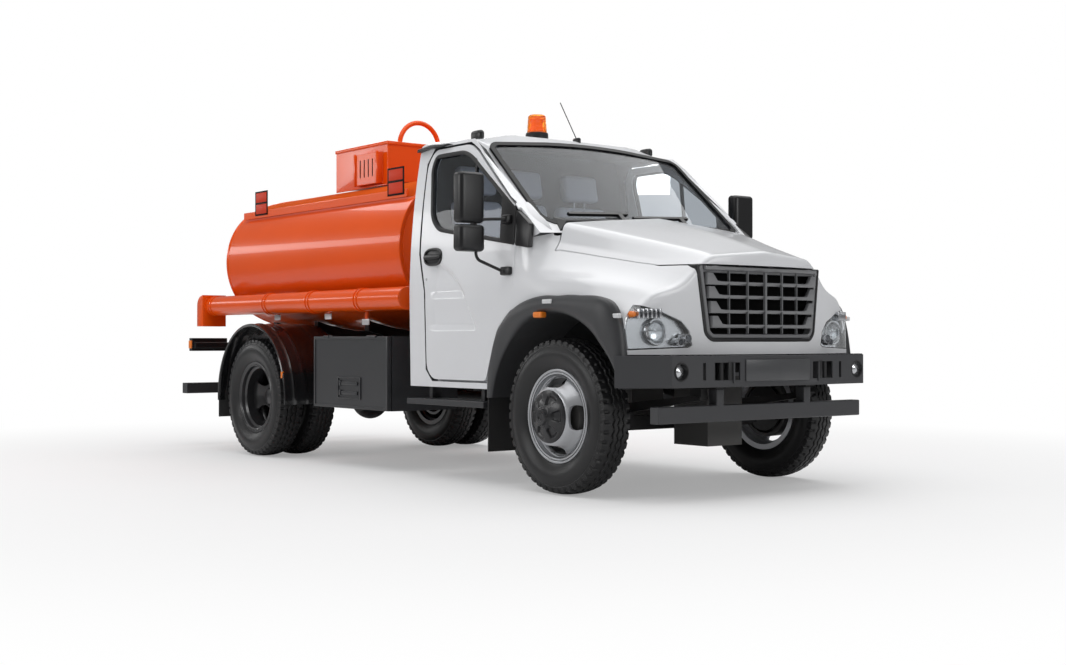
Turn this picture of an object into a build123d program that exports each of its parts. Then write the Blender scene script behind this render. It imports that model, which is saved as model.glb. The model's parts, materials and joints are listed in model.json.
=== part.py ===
from build123d import *
import os
from math import cos, radians, sin, sqrt

os.makedirs("parts", exist_ok=True)

# A bonneted two-axle tanker truck. Millimetres, Z up, nose towards -Y, left side +X.
# The origin is on the ground under the middle of the overall box.

# ---------------------------------------------------------------- driving dimensions
FRONT_OVERHANG = 907
WHEELBASE = 3770
REAR_OVERHANG = 1430
SEAM = 7              # gap round a panel that moves
FIT = 0.3             # gap between fixed pieces that lie against each other
BEARING_PLAY = 0.05   # radial play of a shaft in its bore

FRONT_AXLE_Y = FRONT_OVERHANG - (FRONT_OVERHANG + WHEELBASE + REAR_OVERHANG) / 2
REAR_AXLE_Y = FRONT_AXLE_Y + WHEELBASE
REAR_END_Y = REAR_AXLE_Y + REAR_OVERHANG
SIDES = {"right": -1, "left": 1}

# wheels and tyres
TYRE_RADIUS = 475
TYRE_WIDTH = 236
TYRE_WALL = 16
BEAD_RADIUS = 257
RIM_FLANGE_RADIUS = 284
RIM_INSIDE_WIDTH = 152
RIM_THICKNESS = 8
DISC_THICKNESS = 10
WHEEL_OFFSET = 145    # from a wheel's middle plane to its mounting face
FRONT_WHEEL_X = 899
DUAL_MOUNT_X = 851
HAND_HOLE_CIRCLE = 200
HUB_COVER_RADIUS = 160
SPINDLE_RADIUS = 35
REAR_SPINDLE_RADIUS = 45
KINGPIN_X = 780
KINGPIN_RADIUS = 18
EYE_RADIUS = 42
EYE_HALF_HEIGHT = 45
DRUM_RADIUS = 195

# chassis
FRAME_HALF_WIDTH = 430
FRAME_TOP = 850
FRAME_HEIGHT = 200
FRAME_FLANGE = 80
FRAME_STEEL = 8
FRAME_FRONT = -800    # from the front axle, as all the stations below
FRAME_REAR = WHEELBASE + REAR_OVERHANG - 120
SPRING_X = FRAME_HALF_WIDTH + 25
SPRING_WIDTH = 70
SPRING_PACK = 60
AXLE_BEAM_Z = 415
AXLE_BEAM_HEIGHT = 90
SHAFT_Z = 500
SHAFT_RADIUS = 45
DIFF_RADIUS = 210

# cab
CAB_HALF_WIDTH = 1005
CAB_SILL_Z = 620
CAB_REAR = 1600
CAB_TOP = 2412
CAB_WALL = 50
CAB_FLOOR_Z = 910
FIREWALL = 345
DOOR_FRONT = 400
WINDSCREEN_CROWN = 45
GLASS = 6

# front body
NOSE_SHEET = 25
BUMPER_BOTTOM = 663
BUMPER_TOP = 846
BUMPER_STEEL = 12
ARCH_RADIUS = 625
GRILLE_TOP = 1380
GRILLE_BOTTOM = 938
GRILLE_HALF_TOP = 528
GRILLE_HALF_BOTTOM = 445
GRILLE_ROWS = 5
GRILLE_COLUMNS = 6

# tank
TANK_FRONT = CAB_REAR + 260
TANK_REAR = WHEELBASE + 830
TANK_HALF_WIDTH = 945
TANK_CENTRE_Z = 1604
TANK_HALF_HEIGHT = 600
TANK_HEAD_DEPTH = 110
TANK_SHOULDER = 0.758  # where the side arcs meet the top arc, as a share of both half sizes
HOSE_TUBE_X = 980
HOSE_TUBE_Z = 1230
HOSE_TUBE_RADIUS = 82
HOSE_TUBE_FRONT = TANK_FRONT - 200
HOSE_TUBE_REAR = TANK_REAR + 140


def at(offset):
    """Row station of a distance behind the front axle."""
    return FRONT_AXLE_Y + offset


def cross_plane(offset):
    """Plane across the truck; its sketch coordinates are x and z, and it extrudes forwards."""
    return Plane.XZ.offset(-at(offset))


def side_plane(x=0):
    """Plane along the truck; its sketch coordinates are y and z, and it extrudes to the left."""
    return Plane.YZ.offset(x)


def stations(points):
    """Side outline points (distance behind the front axle, z) in the row frame."""
    return [(at(y), z) for y, z in points]


def both_sides(points):
    """Closed symmetric outline from its right half, listed from the bottom to the top."""
    return points + [(-x, z) for x, z in reversed(points) if x != 0]


def save(part, name):
    part.label = name
    export_step(part, f"parts/{name}.step")


def wheel_axis(axle_y):
    return Axis((0, axle_y, TYRE_RADIUS), (1, 0, 0))


def ring_profile(side, centre_x, outline):
    """Wheel outline (outboard distance, radius) as points on the plane through the axle."""
    return [(side * (centre_x + u), TYRE_RADIUS + r) for u, r in outline]


# ---------------------------------------------------------------- wheels
FLANGE = RIM_INSIDE_WIDTH / 2
SEAT_IN = BEAD_RADIUS - RIM_THICKNESS
WELL_RADIUS = BEAD_RADIUS - 17
RIM_OUTLINE = [
    (-FLANGE - RIM_THICKNESS, RIM_FLANGE_RADIUS), (-FLANGE, RIM_FLANGE_RADIUS),
    (-FLANGE, BEAD_RADIUS), (-50, BEAD_RADIUS), (-38, WELL_RADIUS), (38, WELL_RADIUS),
    (50, BEAD_RADIUS), (FLANGE, BEAD_RADIUS), (FLANGE, RIM_FLANGE_RADIUS),
    (FLANGE + RIM_THICKNESS, RIM_FLANGE_RADIUS), (FLANGE + RIM_THICKNESS, SEAT_IN),
    (54, SEAT_IN), (42, WELL_RADIUS - RIM_THICKNESS), (-42, WELL_RADIUS - RIM_THICKNESS),
    (-54, SEAT_IN), (-FLANGE - RIM_THICKNESS, SEAT_IN),
]
DISC_EDGE = WELL_RADIUS - 3
# the pressed disc, from the rim's well out to the mounting face
DISC_OUTLINE = [
    (30, DISC_EDGE), (75, 212), (128, 182), (WHEEL_OFFSET, 162), (WHEEL_OFFSET, 60),
    (WHEEL_OFFSET - DISC_THICKNESS, 60), (WHEEL_OFFSET - DISC_THICKNESS, 158),
    (119, 172), (64, 202), (12, DISC_EDGE),
]


def tyre_section(side, centre_x, axle_y):
    """Closed C section of a tyre that sits on the bead seats."""
    half = TYRE_WIDTH / 2
    shoulder = TYRE_RADIUS - 13
    p = lambda u, r: (side * (centre_x + u), TYRE_RADIUS + r)
    with BuildSketch(Plane.XZ.offset(-axle_y)) as section:
        with BuildLine():
            for s in (-1, 1):
                Line(p(s * FLANGE, BEAD_RADIUS), p(s * FLANGE, RIM_FLANGE_RADIUS + 2))
                ThreePointArc(p(s * FLANGE, RIM_FLANGE_RADIUS + 2), p(s * half, 368),
                              p(s * 98, shoulder))
                Line(p(s * (FLANGE - 24), BEAD_RADIUS), p(s * (FLANGE - TYRE_WALL), 292))
                ThreePointArc(p(s * (FLANGE - TYRE_WALL), 292), p(s * (half - TYRE_WALL), 368),
                              p(s * 84, shoulder - TYRE_WALL - 6))
                Line(p(s * FLANGE, BEAD_RADIUS), p(s * (FLANGE - 24), BEAD_RADIUS))
            ThreePointArc(p(-98, shoulder), p(0, TYRE_RADIUS), p(98, shoulder))
            ThreePointArc(p(-84, shoulder - TYRE_WALL - 6), p(0, TYRE_RADIUS - 24),
                          p(84, shoulder - TYRE_WALL - 6))
        make_face()
    return section.sketch


def revolved(sketches, axle_y):
    """One solid of revolution from sketches on the plane through the axle."""
    with BuildPart() as turned:
        for sketch in sketches:
            revolve(sketch, axis=wheel_axis(axle_y))
    return turned.part


def outline_sketch(side, centre_x, axle_y, outline):
    with BuildSketch(Plane.XZ.offset(-axle_y)) as profile:
        with BuildLine():
            Polyline(*ring_profile(side, centre_x, outline), close=True)
        make_face()
    return profile.sketch


def hand_holes(side, x_from, x_to, axle_y):
    """Four slots through a disc, as one cutter."""
    width = abs(x_to - x_from)
    start = min(side * x_from, side * x_to)
    with BuildPart() as slots:
        with BuildSketch(Plane((start, axle_y, TYRE_RADIUS), x_dir=(0, 1, 0), z_dir=(1, 0, 0))):
            with PolarLocations(HAND_HOLE_CIRCLE, 4):
                SlotOverall(112, 52, rotation=90)
        extrude(amount=width)
    return slots.part


HUB_BACK = -57
for name, side in SIDES.items():
    hub = [
        (HUB_BACK + 20, SPINDLE_RADIUS + BEARING_PLAY), (HUB_BACK + 20, 80), (WHEEL_OFFSET - 30, 80),
        (WHEEL_OFFSET - 20, HUB_COVER_RADIUS), (WHEEL_OFFSET + 12, HUB_COVER_RADIUS),
        (WHEEL_OFFSET + 30, 110), (WHEEL_OFFSET + 34, 52), (WHEEL_OFFSET + 40, 0),
        (WHEEL_OFFSET - 30, 0), (WHEEL_OFFSET - 30, SPINDLE_RADIUS + BEARING_PLAY),
    ]
    drum = [
        (HUB_BACK, DRUM_RADIUS - 22), (HUB_BACK, DRUM_RADIUS), (60, DRUM_RADIUS - 5), (60, 75),
        (48, 75), (48, DRUM_RADIUS - 22),
    ]
    with BuildPart() as front_wheel:
        add(revolved(
            [outline_sketch(side, FRONT_WHEEL_X, FRONT_AXLE_Y, o)
             for o in (RIM_OUTLINE, DISC_OUTLINE, hub, drum)],
            FRONT_AXLE_Y,
        ))
        add(hand_holes(side, FRONT_WHEEL_X + 62, FRONT_WHEEL_X + 135, FRONT_AXLE_Y),
            mode=Mode.SUBTRACT)
    save(front_wheel.part, f"wheel_front_{name}")
    save(revolved([tyre_section(side, FRONT_WHEEL_X, FRONT_AXLE_Y)], FRONT_AXLE_Y),
         f"tyre_front_{name}")


OUTER_DUAL_X = DUAL_MOUNT_X + WHEEL_OFFSET
INNER_DUAL_X = DUAL_MOUNT_X - WHEEL_OFFSET
for name, side in SIDES.items():
    inward_disc = [(-u, r) for u, r in DISC_OUTLINE]
    hub = [
        (-120, REAR_SPINDLE_RADIUS + BEARING_PLAY), (-120, 100), (100, 100), (100, 125),
        (118, 120), (126, 0), (95, 0), (95, REAR_SPINDLE_RADIUS + BEARING_PLAY),
    ]
    drum = [
        (-205, DRUM_RADIUS - 22), (-205, DRUM_RADIUS), (-45, DRUM_RADIUS), (-45, 95),
        (-60, 95), (-60, DRUM_RADIUS - 22),
    ]
    with BuildPart() as twin_wheel:
        add(revolved(
            [outline_sketch(side, OUTER_DUAL_X, REAR_AXLE_Y, RIM_OUTLINE),
             outline_sketch(side, INNER_DUAL_X, REAR_AXLE_Y, RIM_OUTLINE),
             outline_sketch(side, OUTER_DUAL_X, REAR_AXLE_Y, inward_disc),
             outline_sketch(side, INNER_DUAL_X, REAR_AXLE_Y, DISC_OUTLINE),
             outline_sketch(side, DUAL_MOUNT_X, REAR_AXLE_Y, hub),
             outline_sketch(side, DUAL_MOUNT_X, REAR_AXLE_Y, drum)],
            REAR_AXLE_Y,
        ))
        for centre, facing in ((OUTER_DUAL_X, -1), (INNER_DUAL_X, 1)):
            add(hand_holes(side, centre + facing * 62, centre + facing * 135, REAR_AXLE_Y),
                mode=Mode.SUBTRACT)
    save(twin_wheel.part, f"wheels_rear_{name}")
    with BuildPart() as twin_tyres:
        for centre in (OUTER_DUAL_X, INNER_DUAL_X):
            revolve(tyre_section(side, centre, REAR_AXLE_Y), axis=wheel_axis(REAR_AXLE_Y))
    save(twin_tyres.part, f"tyres_rear_{name}")

# ---------------------------------------------------------------- axles and knuckles
EAR_GAP = 5
EAR_THICKNESS = 28
EAR_SWING_RADIUS = 52
PLATE_X = FRONT_WHEEL_X - 70
for name, side in SIDES.items():
    with BuildPart() as knuckle:
        # stub shaft, backing plate, and the fork that holds the kingpin
        with BuildSketch(Plane((side * PLATE_X, FRONT_AXLE_Y, TYRE_RADIUS), z_dir=(side, 0, 0))):
            Circle(155)
        extrude(amount=8)
        with BuildSketch(Plane((side * PLATE_X, FRONT_AXLE_Y, TYRE_RADIUS), z_dir=(side, 0, 0))):
            Circle(SPINDLE_RADIUS)
        extrude(amount=70 + WHEEL_OFFSET - 40)
        for up in (-1, 1):
            ear_z = TYRE_RADIUS + up * (EYE_HALF_HEIGHT + EAR_GAP + EAR_THICKNESS / 2)
            with Locations((side * (KINGPIN_X + PLATE_X) / 2 - side * 15, FRONT_AXLE_Y, ear_z)):
                Box(PLATE_X - KINGPIN_X + 30, 64, EAR_THICKNESS)
        with Locations((side * KINGPIN_X, FRONT_AXLE_Y, TYRE_RADIUS)):
            Cylinder(KINGPIN_RADIUS, 2 * (EYE_HALF_HEIGHT + EAR_GAP + EAR_THICKNESS))
    save(knuckle.part, f"knuckle_{name}")

with BuildPart() as front_axle:
    with Locations((0, FRONT_AXLE_Y, AXLE_BEAM_Z)):
        Box(2 * 690, 76, AXLE_BEAM_HEIGHT)
    for side in SIDES.values():
        with Locations((side * 700, FRONT_AXLE_Y, (AXLE_BEAM_Z + TYRE_RADIUS) / 2)):
            Box(100, 60, TYRE_RADIUS - AXLE_BEAM_Z + 60)
        with Locations((side * KINGPIN_X, FRONT_AXLE_Y, TYRE_RADIUS)):
            Cylinder(EYE_RADIUS, 2 * EYE_HALF_HEIGHT)
        with Locations((side * SPRING_X, FRONT_AXLE_Y, AXLE_BEAM_Z + AXLE_BEAM_HEIGHT / 2 + 12)):
            Box(SPRING_WIDTH + 20, 130, 24)
        with Locations((side * KINGPIN_X, FRONT_AXLE_Y, TYRE_RADIUS)):
            Cylinder(KINGPIN_RADIUS + BEARING_PLAY, 3 * EYE_HALF_HEIGHT, mode=Mode.SUBTRACT)
        for up in (-1, 1):
            with Locations((side * KINGPIN_X, FRONT_AXLE_Y, TYRE_RADIUS + up * (EYE_HALF_HEIGHT + 50))):
                Cylinder(EAR_SWING_RADIUS, 100, mode=Mode.SUBTRACT)
save(front_axle.part, "front_axle")

AXLE_TUBE_RADIUS = 68
REAR_PAD_Z = TYRE_RADIUS + AXLE_TUBE_RADIUS + 15
with BuildPart() as rear_axle:
    with BuildSketch(Plane.XZ.offset(-REAR_AXLE_Y)):
        with BuildLine():
            Line((-110, TYRE_RADIUS), (110, TYRE_RADIUS))
            Line((110, TYRE_RADIUS), (110, TYRE_RADIUS + 150))
            ThreePointArc((110, TYRE_RADIUS + 150), (0, TYRE_RADIUS + DIFF_RADIUS),
                          (-110, TYRE_RADIUS + 150))
            Line((-110, TYRE_RADIUS + 150), (-110, TYRE_RADIUS))
        make_face()
    revolve(axis=wheel_axis(REAR_AXLE_Y))
    for radius, reach in ((AXLE_TUBE_RADIUS, DUAL_MOUNT_X - 215), (REAR_SPINDLE_RADIUS, DUAL_MOUNT_X + 80)):
        with BuildSketch(Plane((0, REAR_AXLE_Y, TYRE_RADIUS), z_dir=(1, 0, 0))):
            Circle(radius)
        extrude(amount=reach, both=True)
    # pinion nose and spring seats
    with BuildSketch(Plane((0, REAR_AXLE_Y, SHAFT_Z), z_dir=(0, -1, 0))):
        Circle(80)
    extrude(amount=DIFF_RADIUS + 90)
    for side in SIDES.values():
        with Locations((side * SPRING_X, REAR_AXLE_Y, TYRE_RADIUS + AXLE_TUBE_RADIUS - 10)):
            Box(SPRING_WIDTH + 20, 130, 50)
save(rear_axle.part, "rear_axle")

# ---------------------------------------------------------------- frame, springs, drive line
FRAME_BOTTOM = FRAME_TOP - FRAME_HEIGHT
HANGER_DROP = 45
FRONT_SPRING = (-680, 620)
REAR_SPRING = (WHEELBASE - 720, WHEELBASE + 700)
CROSS_MEMBERS = (-740, 1480, 2350, 3050, 4520, 5030)
with BuildPart() as frame_rails:
    for side in SIDES.values():
        outer, inner = side * FRAME_HALF_WIDTH, side * (FRAME_HALF_WIDTH - FRAME_FLANGE)
        web = side * (FRAME_HALF_WIDTH - FRAME_STEEL)
        low, high = FRAME_BOTTOM + FRAME_STEEL, FRAME_TOP - FRAME_STEEL
        with BuildSketch(cross_plane(FRAME_REAR)):
            with BuildLine():
                Polyline((outer, FRAME_BOTTOM), (outer, FRAME_TOP), (inner, FRAME_TOP),
                         (inner, high), (web, high), (web, low), (inner, low),
                         (inner, FRAME_BOTTOM), close=True)
            make_face()
        extrude(amount=FRAME_REAR - FRAME_FRONT)
        for end in FRONT_SPRING + REAR_SPRING:
            with Locations((side * SPRING_X, at(end), FRAME_BOTTOM - HANGER_DROP / 2)):
                Box(SPRING_WIDTH - 20, 90, HANGER_DROP)
            with Locations((side * (FRAME_HALF_WIDTH + 15), at(end), FRAME_BOTTOM + 20)):
                Box(30, 90, FRAME_HEIGHT / 2 + 10)
    for station in CROSS_MEMBERS:
        with Locations((0, at(station), FRAME_TOP - 65)):
            Box(2 * FRAME_HALF_WIDTH - 10, 70, 80)
save(frame_rails.part, "frame_rails")

AXLE_SPRING_SEATS = (
    (FRONT_SPRING, 0, AXLE_BEAM_Z + AXLE_BEAM_HEIGHT / 2 + 24),
    (REAR_SPRING, WHEELBASE, TYRE_RADIUS + AXLE_TUBE_RADIUS + 15),
)
with BuildPart() as leaf_springs:
    for side in SIDES.values():
        for (front_end, rear_end), axle, seat in AXLE_SPRING_SEATS:
            top = FRAME_BOTTOM - HANGER_DROP
            with BuildSketch(side_plane(side * SPRING_X)):
                with BuildLine():
                    Polyline(*stations([
                        (front_end - 45, top), (front_end - 45, top - 22), (axle - 75, seat),
                        (axle + 75, seat), (rear_end + 45, top - 22), (rear_end + 45, top),
                        (rear_end - 45, top), (axle + 75, seat + SPRING_PACK),
                        (axle - 75, seat + SPRING_PACK), (front_end + 45, top)]), close=True)
                make_face()
            extrude(amount=SPRING_WIDTH / 2, both=True)
save(leaf_springs.part, "leaf_springs")

GEARBOX_END = 1250
PINION_NOSE = WHEELBASE - DIFF_RADIUS - 90
with BuildPart() as engine_block:
    with Locations((0, at(-90), 900)):
        Box(560, 800, 500)
    with Locations((0, at(GEARBOX_END / 2 + 130), 540)):
        Box(280, GEARBOX_END - 260, 240)
    with Locations((0, at(-300), 470)):
        Box(300, 300, 380)
    for side in SIDES.values():
        with Locations((side * 310, at(-150), 760)):
            Box(2 * (FRAME_HALF_WIDTH - FRAME_STEEL - 310), 90, 60)
save(engine_block.part, "engine_block")

with BuildPart() as prop_shaft:
    with BuildSketch(Plane((0, at(GEARBOX_END), SHAFT_Z), z_dir=(0, 1, 0))):
        Circle(SHAFT_RADIUS)
    extrude(amount=PINION_NOSE - GEARBOX_END)
save(prop_shaft.part, "prop_shaft")

with BuildPart() as radiator:
    with Locations((0, at(-640), 1000)):
        Box(660, 60, 560)
    for side in SIDES.values():
        with Locations((side * 370, at(-640), FRAME_TOP + FIT + 15)):
            Box(100, 60, 30)
save(radiator.part, "radiator")

# ---------------------------------------------------------------- cab
SLOPE = radians(41.8)
WINDSCREEN_FOOT = (297, 1698)       # lower corner of the windscreen: station and height
WINDSCREEN_HALF = 870
WINDSCREEN_RADIUS = (WINDSCREEN_HALF ** 2 + WINDSCREEN_CROWN ** 2) / (2 * WINDSCREEN_CROWN)
CAB_SIDE = [
    (ARCH_RADIUS + 65, CAB_SILL_Z), (CAB_REAR, CAB_SILL_Z), (CAB_REAR, CAB_TOP - 60),
    (CAB_REAR - 45, CAB_TOP), (1250, CAB_TOP), (1000, CAB_TOP - 22), (780, CAB_TOP - 120),
    (60, 1710), (120, 1625), (FIREWALL, 1560), (FIREWALL, ARCH_RADIUS + 505),
    (430, ARCH_RADIUS + 387), (ARCH_RADIUS - 65, 862), (ARCH_RADIUS + 15, 745),
]


def slope_plane(normal_offset=0):
    """Plane of the windscreen: x across, y up the slope, z out of the glass."""
    y, z = WINDSCREEN_FOOT
    lift = WINDSCREEN_CROWN + normal_offset
    origin = (0, at(y) - lift * sin(SLOPE), z + lift * cos(SLOPE))
    return Plane(origin, x_dir=(1, 0, 0), z_dir=(0, -sin(SLOPE), cos(SLOPE)))


def cab_volume(inset, all_round=True):
    """Outside of the cab moved in by inset, or only its sides and roof where not all_round."""
    with BuildPart() as volume:
        with BuildSketch(side_plane(-1200)):
            with BuildLine():
                Polyline(*stations(CAB_SIDE), close=True)
            make_face()
            if inset and all_round:
                offset(amount=-inset, kind=Kind.INTERSECTION)
        extrude(amount=2400)
        with BuildSketch(cross_plane(CAB_REAR + 100)):
            w = CAB_HALF_WIDTH
            low = CAB_SILL_Z if all_round else CAB_SILL_Z - 2 * inset
            with BuildLine():
                for s in (-1, 1):
                    Line((s * (w - 10), low), (s * w, 1250))
                    ThreePointArc((s * w, 1250), (s * (w - 38), 1850), (s * (w - 105), 2290))
                    ThreePointArc((s * (w - 105), 2290), (s * (w - 140), 2345), (s * (w - 205), 2378))
                ThreePointArc((205 - w, 2378), (0, CAB_TOP), (w - 205, 2378))
                Line((10 - w, low), (w - 10, low))
            make_face()
            if inset:
                offset(amount=-inset, kind=Kind.INTERSECTION)
        extrude(amount=CAB_REAR + 500, mode=Mode.INTERSECT)
        # the windscreen's long bow rounds the front
        across = Plane(slope_plane().origin, x_dir=(1, 0, 0), z_dir=(0, cos(SLOPE), sin(SLOPE)))
        with BuildSketch(across):
            with Locations((0, WINDSCREEN_RADIUS)):
                Circle(WINDSCREEN_RADIUS - (inset if all_round else 0))
        extrude(amount=3000, both=True, mode=Mode.INTERSECT)
    return volume.part


DOOR_OUTLINE = [
    (ARCH_RADIUS + 83, 668), (1330, 668), (1400, 740), (1410, 1270), (1485, 1530), (1485, 2150),
    (1420, 2245), (1000, 2245), (900, 2190), (440, 1800), (DOOR_FRONT, 1750),
    (DOOR_FRONT, ARCH_RADIUS + 515), (470, ARCH_RADIUS + 473), (ARCH_RADIUS - 45, 1000),
    (ARCH_RADIUS + 25, 830),
]
DOOR_SEAM = 10
WINDOW_OUTLINE = [
    (460, 1512), (1269, 1654), (1340, 1700), (1373, 2130), (1330, 2177), (1040, 2177),
    (960, 2130), (460, 1700),
]


def side_prism(outline, side, grow=0):
    """A side outline carried from the middle of the cab out past its side."""
    with BuildPart() as prism:
        with BuildSketch(side_plane(side * 300)):
            with BuildLine():
                Polyline(*stations(outline), close=True)
            make_face()
            if grow:
                offset(amount=grow, kind=Kind.INTERSECTION)
        extrude(amount=side * 900)
    return prism.part


cab_outside = cab_volume(0)
cab_inside = cab_volume(CAB_WALL)
between_doors = cab_volume(CAB_WALL, all_round=False)
between_apertures = cab_volume(CAB_WALL + SEAM, all_round=False)
WINDSCREEN_OUTLINE = [
    (CAB_HALF_WIDTH - 215, -58), (CAB_HALF_WIDTH - 130, 12), (CAB_HALF_WIDTH - 156, 770),
    (CAB_HALF_WIDTH - 205, 812), (0, 838), (205 - CAB_HALF_WIDTH, 812), (156 - CAB_HALF_WIDTH, 770),
    (130 - CAB_HALF_WIDTH, 12), (215 - CAB_HALF_WIDTH, -58),
]


def windscreen_prism(grow=0):
    with BuildPart() as prism:
        with BuildSketch(slope_plane(-2 * CAB_WALL - 10)):
            with BuildLine():
                Polyline(*WINDSCREEN_OUTLINE, close=True)
            make_face()
            if grow:
                offset(amount=grow, kind=Kind.INTERSECTION)
        extrude(amount=2 * CAB_WALL + 40)
    return prism.part


with BuildPart() as cab_room:
    add(cab_inside)
    with Locations((0, at(CAB_REAR / 2), CAB_FLOOR_Z / 2)):
        Box(3000, 3000, CAB_FLOOR_Z, mode=Mode.SUBTRACT)
with BuildPart() as aperture_slab:
    add(cab_outside)
    add(between_apertures, mode=Mode.SUBTRACT)
with BuildPart() as cab_shell:
    add(cab_outside)
    add(cab_room.part, mode=Mode.SUBTRACT)
    # tunnel over the frame, drive line and engine
    with Locations((0, at(CAB_REAR / 2), CAB_SILL_Z + (FRAME_TOP + 20 - CAB_SILL_Z) / 2)):
        Box(2 * FRAME_HALF_WIDTH + 70, 3000, FRAME_TOP + 20 - CAB_SILL_Z, mode=Mode.SUBTRACT)
    add(windscreen_prism(FIT), mode=Mode.SUBTRACT)
    for side in SIDES.values():
        # recess that the wing's rear edge lies over
        with Locations((side * (CAB_HALF_WIDTH + 50 - 55), at(FIREWALL - 100), 1400)):
            Box(100, 2 * (DOOR_FRONT - SEAM - FIREWALL + 100), 900, mode=Mode.SUBTRACT)
        add(aperture_slab.part & side_prism(DOOR_OUTLINE, side, DOOR_SEAM), mode=Mode.SUBTRACT)
save(cab_shell.part, "cab_shell")

with BuildPart() as windscreen:
    add(cab_volume(4))
    add(cab_volume(4 + GLASS), mode=Mode.SUBTRACT)
    add(windscreen_prism(), mode=Mode.INTERSECT)
save(windscreen.part, "windscreen")

HINGE_STATION = DOOR_FRONT + 5
HINGE_X = CAB_HALF_WIDTH + 5
HINGE_HEIGHTS = (1190, 1465)
HINGE_PIN_RADIUS = 5
HINGE_BARREL_RADIUS = 9
HINGE_LENGTH = 25
HINGE_AXIAL_GAP = 0.5
for name, side in SIDES.items():
    with BuildPart() as door:
        add(cab_outside)
        add(between_doors, mode=Mode.SUBTRACT)
        add(side_prism(DOOR_OUTLINE, side), mode=Mode.INTERSECT)
        add(side_prism(WINDOW_OUTLINE, side), mode=Mode.SUBTRACT)
        for z in HINGE_HEIGHTS:
            # notch round the fixed leaf, then the door's own leaf, barrel and bore
            with Locations((side * (HINGE_X - 20), at(HINGE_STATION), z - 14)):
                Box(84, 30, 36, mode=Mode.SUBTRACT)
            with Locations((side * (HINGE_X - 9), at(HINGE_STATION + 20), z + 15)):
                Box(30, 40, HINGE_LENGTH - 5)
            with Locations((side * HINGE_X, at(HINGE_STATION), z + HINGE_LENGTH / 2)):
                Cylinder(HINGE_BARREL_RADIUS, HINGE_LENGTH)
                Cylinder(HINGE_PIN_RADIUS + BEARING_PLAY, HINGE_LENGTH + 10, mode=Mode.SUBTRACT)
    save(door.part, f"door_{name}")
    with BuildPart() as glass:
        add(cab_volume(15, all_round=False))
        add(cab_volume(15 + GLASS, all_round=False), mode=Mode.SUBTRACT)
        add(side_prism(WINDOW_OUTLINE, side, -FIT), mode=Mode.INTERSECT)
    save(glass.part, f"door_glass_{name}")


# ---------------------------------------------------------------- cab fittings
SEAT_BASE_Z = CAB_FLOOR_Z + 240
with BuildPart() as seats:
    for centre, width in ((480, 500), (-330, 860)):
        with BuildSketch(side_plane(centre)):
            with BuildLine():
                Polyline(*stations([
                    (900, CAB_FLOOR_Z), (1300, CAB_FLOOR_Z), (1330, SEAT_BASE_Z),
                    (1520, SEAT_BASE_Z + 560), (1500, SEAT_BASE_Z + 740),
                    (1420, SEAT_BASE_Z + 740), (1400, SEAT_BASE_Z + 560),
                    (1270, SEAT_BASE_Z + 130), (820, SEAT_BASE_Z + 150),
                    (800, SEAT_BASE_Z + 20), (900, SEAT_BASE_Z)]), close=True)
            make_face()
        extrude(amount=width / 2, both=True)
save(seats.part, "seats")

COLUMN_X = CAB_HALF_WIDTH - 545
COLUMN_TILT = radians(32)
RIM_CENTRE = (760, 1560)
WHEEL_RIM_RADIUS = 205
column_plane = Plane(
    (COLUMN_X, at(RIM_CENTRE[0]), RIM_CENTRE[1]), x_dir=(1, 0, 0),
    z_dir=(0, cos(COLUMN_TILT), sin(COLUMN_TILT)),
)
with BuildPart() as dashboard:
    with BuildSketch(side_plane(0)):
        with BuildLine():
            Polyline(*stations([
                (FIREWALL + CAB_WALL + FIT, 1180), (540, 1180), (640, 1280), (650, 1480), (600, 1560),
                (FIREWALL + CAB_WALL + FIT, 1500)]), close=True)
        make_face()
    extrude(amount=CAB_HALF_WIDTH - CAB_WALL - 60, both=True)
save(dashboard.part, "dashboard")

with BuildPart() as steering_wheel:
    rim_section = Plane(column_plane.origin, x_dir=(1, 0, 0),
                        z_dir=(0, sin(COLUMN_TILT), -cos(COLUMN_TILT)))
    with BuildSketch(rim_section):
        with Locations((WHEEL_RIM_RADIUS, 0)):
            Circle(15)
    revolve(axis=Axis(column_plane.origin, column_plane.z_dir))
    with BuildSketch(column_plane.offset(-25)):
        Circle(48)
        Rectangle(2 * WHEEL_RIM_RADIUS - 10, 26)
        with Locations((0, -WHEEL_RIM_RADIUS / 2)):
            Rectangle(26, WHEEL_RIM_RADIUS - 10)
    extrude(amount=22)
    with BuildSketch(column_plane.offset(-330)):
        Circle(30)
    extrude(amount=310)
    add(dashboard.part, mode=Mode.SUBTRACT)
save(steering_wheel.part, "steering_wheel")

# ---------------------------------------------------------------- front body and bonnet
NOSE_SECTIONS = [
    # station, then the half section from the sill up to the middle, as (inwards from the side, z)
    (DOOR_FRONT - SEAM, [(0, 600), (0, 1250), (30, 1470), (125, 1610), (200, 1735)], 1760),
    (-100, [(0, 600), (0, 1240), (55, 1390), (240, 1505), (355, 1615)], 1670),
    (-500, [(0, 600), (0, 1180), (155, 1290), (390, 1428), (505, 1515)], 1562),
    (-810, [(0, 600), (0, 1060), (145, 1190), (345, 1290), (475, 1392)], 1425),
]
# plan curve of the front: its ends and its middle
NOSE_BOW = ((CAB_HALF_WIDTH - 55, 5 - ARCH_RADIUS), (0, -800))
BONNET_REAR = 150
BONNET_HALF_REAR = CAB_HALF_WIDTH - 215
BONNET_HALF_FRONT = 522
BONNET_STRAIGHT = 120
BONNET_FLARE = 20                      # degrees that the bonnet's edge leans outwards
COWL_GAP = 47
WING_BOTTOM = BUMPER_TOP + 4


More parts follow.
